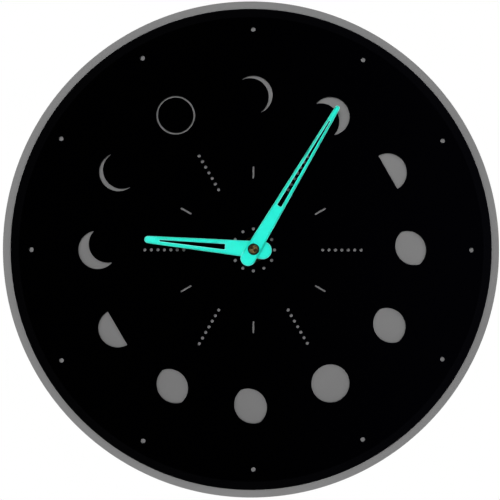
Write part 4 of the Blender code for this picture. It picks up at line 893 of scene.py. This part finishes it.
# %% [markdown]
# ## The movement's case and cover
# The case and the rear cover have their true shape in the model. A moulded box never has a knife edge,
# though, so a copy of each is joined up, its flat faces are cleared of needless cuts, and a small bevel
# rounds its edges. Marks that a mould would carry are then cut into the cover: arrows round the setting
# knob, and plus and minus beside the battery.

# %% Round the moulded edges
MOULD_EDGE = 0.00022
MODEL_SEAM = 1e-6


def moulded_copy(node):
    """A closed copy of a model node with small rounded edges, in world coordinates."""
    mesh = frame["nodes"][node].data.copy()
    mesh.materials.clear()
    with editing(mesh) as work:
        bmesh.ops.remove_doubles(work, verts=work.verts, dist=MODEL_SEAM)
        bmesh.ops.dissolve_limit(work, angle_limit=radians(0.5), verts=work.verts, edges=work.edges)
    source = in_scene(node + "_copy", mesh)
    set_up(source.modifiers.new("edges", "BEVEL"), width=MOULD_EDGE, segments=2, limit_method="ANGLE",
           angle_limit=radians(50), use_clamp_overlap=True)
    return plain_mesh(source)


case_mesh = moulded_copy("movement_case")
cover_mesh = moulded_copy("rear_cover")
print("rounded case and cover:", len(case_mesh.polygons), len(cover_mesh.polygons), "faces")

# %% Marks for the cover
MARK_DEPTH, MARK_WIDTH = 0.0004, 0.0009
ARROW_RADIUS, HEAD_WIDTH, HEAD_ANGLE = 0.0090, 0.0014, radians(16)
SIGN_SIZE, SIGN_X, SIGN_Y = 0.0034, 0.0225, -0.0082
PIN_RADIUS, PIN_X, PIN_Y = 0.0015, 0.0225, 0.0225
stem = joints["setting_turn"]["pos_m"]
STEM = (stem[0], stem[2] - AXIS_HEIGHT)


def arrow(start, end):
    """Curved arrow round the knob, from a start to its point."""
    shaft_end = end - HEAD_ANGLE if end > start else end + HEAD_ANGLE
    head = [(-HEAD_WIDTH, shaft_end), (0, end), (HEAD_WIDTH, shaft_end)]
    return arc(ARROW_RADIUS - MARK_WIDTH / 2, start, shaft_end, STEM) \
        + [at_turns(ARROW_RADIUS + side, [turn], STEM)[0] for side, turn in head] \
        + arc(ARROW_RADIUS + MARK_WIDTH / 2, shaft_end, start, STEM)


half, thin = SIGN_SIZE / 2, MARK_WIDTH / 2
arm = [(half, -thin), (half, thin), (thin, thin)]
plus = [point for quarter in range(4) for point in turned_outline(arm, quarter * pi / 2, (SIGN_X, SIGN_Y))]
minus = turned_outline([(-half, -thin), (half, -thin), (half, thin), (-half, thin)], 0, (-SIGN_X, SIGN_Y))
marks = [arrow(radians(125), radians(55)), arrow(radians(-55), radians(-125)), plus, minus]
marks += [circle(PIN_RADIUS, 32, (side * PIN_X, PIN_Y)) for side in (-1, 1)]
print(len(marks), "marks drawn for the cover")


# %% Cut the marks into the cover
def engraved(mesh, outlines):
    """Cuts outlines into the rear of a mesh that stands in world coordinates."""
    target = in_scene("target", mesh)
    cutters = []
    for index, outline in enumerate(outlines):
        cutter_mesh = sheet(f"mark_{index}", [outline], -MM, MARK_DEPTH)
        cutter_mesh.transform(DIAL)
        cutters.append(in_scene(f"mark_{index}", cutter_mesh))
        set_up(target.modifiers.new("cut", "BOOLEAN"), operation="DIFFERENCE", solver="EXACT",
               object=cutters[-1])
    result = plain_mesh(target)
    for cutter in cutters:
        bpy.data.objects.remove(cutter, do_unlink=True)
    return result


in_place = Matrix.Identity(4)
piece("moulded_case", case_mesh, "movement_case", case_plastic, place=in_place)
piece("moulded_cover", engraved(cover_mesh, marks), "rear_cover", case_plastic, place=in_place)

# %% [markdown]
# ## Knob and cell
# The setting knob is turned with a thumb, so its edge is knurled by the tree that cut the thread, and its
# face is dished. The cell is a steel can in a sleeve, which folds in over both ends, with the flat minus
# plate at one end and the button at the other.

# %% Setting knob
KNOB_BORE, KNOB_RADIUS, KNOB_EDGE = 0.0013, 0.006, 0.0002
rear, front = levels("setting_knob")
dish = [(0.0052, 0), (0.0049, 0.0003), (0.0030, 0.00045), (0.0024, 0.0003), (0.0022, 0), (KNOB_BORE, 0)]
profile = [(KNOB_BORE, front), (KNOB_RADIUS - KNOB_EDGE, front), (KNOB_RADIUS, front - KNOB_EDGE),
           (KNOB_RADIUS, rear + KNOB_EDGE), (KNOB_RADIUS - KNOB_EDGE, rear),
           *((out, rear + deep) for out, deep in dish)]
knob = grow("knob", ridges, turned("knob", profile, 180), Round=36.0, Depth=0.0003, From_height=rear - MM,
            To_height=front + MM, Least_radius=0.0056, Finish=white_plastic)
piece("knurled_knob", knob, "setting_knob", white_plastic, body="setting_stem",
      place=DIAL @ Matrix.Translation((*STEM, 0)))

# %% Cell
CELL_RADIUS, BUTTON_RADIUS, BUTTON_HEIGHT = 0.0071, 0.00275, 0.001
SLEEVE_FOLD = 0.0057


def lying(low, high):
    """The place of a piece turned about its own z that lies along x, from the end with the lowest x."""
    middle = (low + high) / 2
    return Matrix.Translation((low.x, middle.y, middle.z)) @ Matrix.Rotation(pi / 2, 4, "Y")


top = cell_high.x - cell_low.x
body = top - BUTTON_HEIGHT
button = [(0, top), (BUTTON_RADIUS - 0.0004, top), (BUTTON_RADIUS - 0.0001, top - 0.0001),
          (BUTTON_RADIUS, top - 0.0004), (BUTTON_RADIUS, body + 0.0001)]
plus_end = [(0.0032, body - 0.0001), (0.0056, body - 0.0003), (0.0059, body), (0.0065, body),
            (0.0069, body - 0.0002), (CELL_RADIUS, body - 0.0006)]
minus_end = [(CELL_RADIUS, 0.0006), (0.0069, 0.0002), (0.0065, 0), (0.0059, 0), (0.0056, 0.0002),
             (0.0050, 0.0003), (0.0046, 0.0001), (0, 0.0001)]
cell = turned("cell", button + plus_end + minus_end)
for face in cell.polygons:
    face.material_index = int(hypot(face.center.x, face.center.y) < SLEEVE_FOLD)
piece("sleeved_cell", cell, "battery", cell_sleeve, cell_can, body="cell", place=lying(cell_low, cell_high))

# %% [markdown]
# ## Inside the case
# Little of the inside shows, but it is finished all the same. The coil is wound from enamelled wire: a
# spiral with a small round section, made by Geometry Nodes, with a plain sleeve below it for the inner
# layers. The wheels, the plate and the motor keep their model shapes, and each node takes its finish.

# %% Wind the coil
WIRE_RADIUS, COIL_BORE = 0.00014, 0.0018
given = growing_tree("winding", Turns=40.0, Radius=0.003, Length=0.02, Wire=0.0001)
spiral = step("GeometryNodeCurveSpiral", {"Resolution": 20, "Rotations": given["Turns"],
                                          "Start Radius": given["Radius"],
                                          "End Radius": given["Radius"], "Height": given["Length"]})
wire = step("GeometryNodeCurveToMesh", {"Curve": spiral, "Profile Curve": disc(given["Wire"], 6),
                                        "Fill Caps": True})
winding = end_tree(wire, given)
low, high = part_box("coil_winding")
length = high.x - low.x
radius = (high.z - low.z) / 2 - WIRE_RADIUS
turns = length / (2 * WIRE_RADIUS) - 1
wire_mesh = grow("wire", winding, Turns=turns, Radius=radius, Length=length - 2 * WIRE_RADIUS,
                 Wire=WIRE_RADIUS, Finish=copper)
wire_mesh.transform(Matrix.Translation((0, 0, WIRE_RADIUS)))
inner = turned("inner_layers", [(COIL_BORE, length), (radius, length), (radius, 0), (COIL_BORE, 0)], 48)
piece("wound_coil", joined(wire_mesh, inner), "coil_winding", copper, place=lying(low, high))

# %% Finish the remaining model nodes
node_finishes = {
    white_plastic: "train_plate rotor_pinion intermediate_wheel seconds_wheel third_wheel centre_wheel "
                   "minute_wheel hour_wheel coil_bobbin",
    washer_brass: "minute_arbor",
    soft_iron: "stator_plate coil_core",
    magnet: "rotor_magnet",
    steel: "stator_screw_left stator_screw_right",
    board_green: "circuit_board",
    nickel: "quartz_crystal battery_contact_plus battery_contact_minus",
    resin: "controller_chip",
}
for finish, names in node_finishes.items():
    for name in names.split():
        for slot in frame["nodes"][name].material_slots:
            slot.material = finish
    print(finish.name, "on", names)

# %% [markdown]
# ## Camera
# The photograph looks almost straight at the dial from close by. The hands stand in front of the dial, so
# their place over the marks tells where the lens was: 18 mm below the axis. The ring of marks is slightly
# larger at one side, which tells how far the lens was turned. Such a lens doesn't point at the middle of the
# frame, because the picture was cropped, and the lens shift stands for that.

# %% Camera
def aimed(thing, place, direction):
    return set_up(thing, location=place, rotation_euler=direction.to_track_quat("-Z", "Y").to_euler())


lens = set_up(bpy.data.cameras.new("camera"), lens=47.8, sensor_width=36, shift_x=-0.0321, shift_y=0.0654)
camera = aimed(in_scene("camera", lens), (-0.0026, -0.4231, -0.0538), Vector((0.0256, 0.9997, -0.0050)))
bpy.context.scene.camera = camera
print("camera", round(-camera.location.y / MM), "mm in front of the wall")

# %% [markdown]
# ## Light, floor and background
# Glossy black shows only what it mirrors, so a photographer leaves the space behind the camera dark and puts
# the soft boxes far to the sides, where grey and turquoise still catch their light. One small box lights the
# dial from the front, and its mirror image is left out. The world does the same: an even fill for rough
# surfaces, a mirror image that is dim in front and white behind the clock, and plain white for the camera.
# The floor is pale, lies below the clock, keeps its soft shadow, and fades into the white.

# %% Soft boxes
def soft_box(name, place, size, power):
    data = set_up(bpy.data.lights.new(name, "AREA"), shape="SQUARE", size=size, energy=power)
    print(name, "gives", power, "W")
    return set_up(aimed(in_scene(name, data), place, Vector(HUB) - Vector(place)), visible_camera=False)


soft_box("left_box", (-1.05, -0.85, -0.45), 0.7, 1.5)
soft_box("right_box", (1.05, -0.85, 0.55), 0.7, 2.3)
soft_box("rear_box", (0.3, 1.2, 0.7), 0.8, 9.0)
soft_box("front_box", (-0.20, -1.34, 0.22), 0.4, 10.5).visible_glossy = False

# %% World
def rays():
    """Shares of the rays: those of the camera, and those that mirror or shine through."""
    ray = step("ShaderNodeLightPath").node.outputs
    return ray["Is Camera Ray"], maths("MAXIMUM", ray["Is Glossy Ray"], ray["Is Transmission Ray"])


FILL = 0.36
WHITE = (1.0, 1.0, 1.0)
DIM_LEFT, DIM_RIGHT = (0.001, 0.001, 0.001), (0.016, 0.016, 0.032)
world = bpy.data.worlds.new("studio")
bpy.context.scene.world = world
world.use_nodes = True
tree = world.node_tree
way = step("ShaderNodeTexCoord", give="Generated")
front_tint = blend(soft_span(along(way, (1, 0, 0)), -0.1, 0.5), DIM_LEFT, DIM_RIGHT)
behind = soft_span(along(way, (0, 1, 0)), -0.45, 0.1)
mirrored = blend(behind, front_tint, WHITE)
camera_ray, mirror_ray = rays()
lit = blend(mirror_ray, (FILL, FILL, FILL), mirrored)
fill(tree.nodes["Background"], {"Color": blend(camera_ray, lit, WHITE), "Strength": 1.0})
print("fill light:", FILL)

# %% Floor
FLOOR_DROP, FLOOR_RADIUS, FLOOR_SIDES = 0.11, 0.27, 96
FADE_START, FADE_END = 0.12, 0.26
floor_level = cad_box[0].z - FLOOR_DROP
floor_finish, shader = new_finish("pale_floor", (0.9, 0.9, 0.9), 0.7)
fill(shader, {"Base Color": blend(grain(place_of(), 12, 3), (0.88, 0.88, 0.88), (0.92, 0.92, 0.92))})
fade = soft_span(length_of(place_of((1, 1, 0))), FADE_START, FADE_END)
glow = step("ShaderNodeEmission", {"Color": (*WHITE, 1), "Strength": 1.0})
share = times(fade, maths("MAXIMUM", *rays()))
mixed = step("ShaderNodeMixShader", {0: share, 1: shader.outputs[0], 2: glow})
fill(tree.nodes["Material Output"], {"Surface": mixed})
floor_mesh = new_mesh("floor", [(x, y, floor_level) for x, y in circle(FLOOR_RADIUS, FLOOR_SIDES)],
                      faces=[tuple(range(FLOOR_SIDES))])
floor_mesh.materials.append(floor_finish)
in_scene("floor", floor_mesh)
print("the floor lies", FLOOR_DROP / MM, "mm below the clock")

# %% [markdown]
# ## The view transform
# Colours are shown with the Standard view transform, and the scene is brought up to date.

# %% Set the view transform
bpy.context.scene.view_settings.view_transform = "Standard"
bpy.context.view_layer.update()
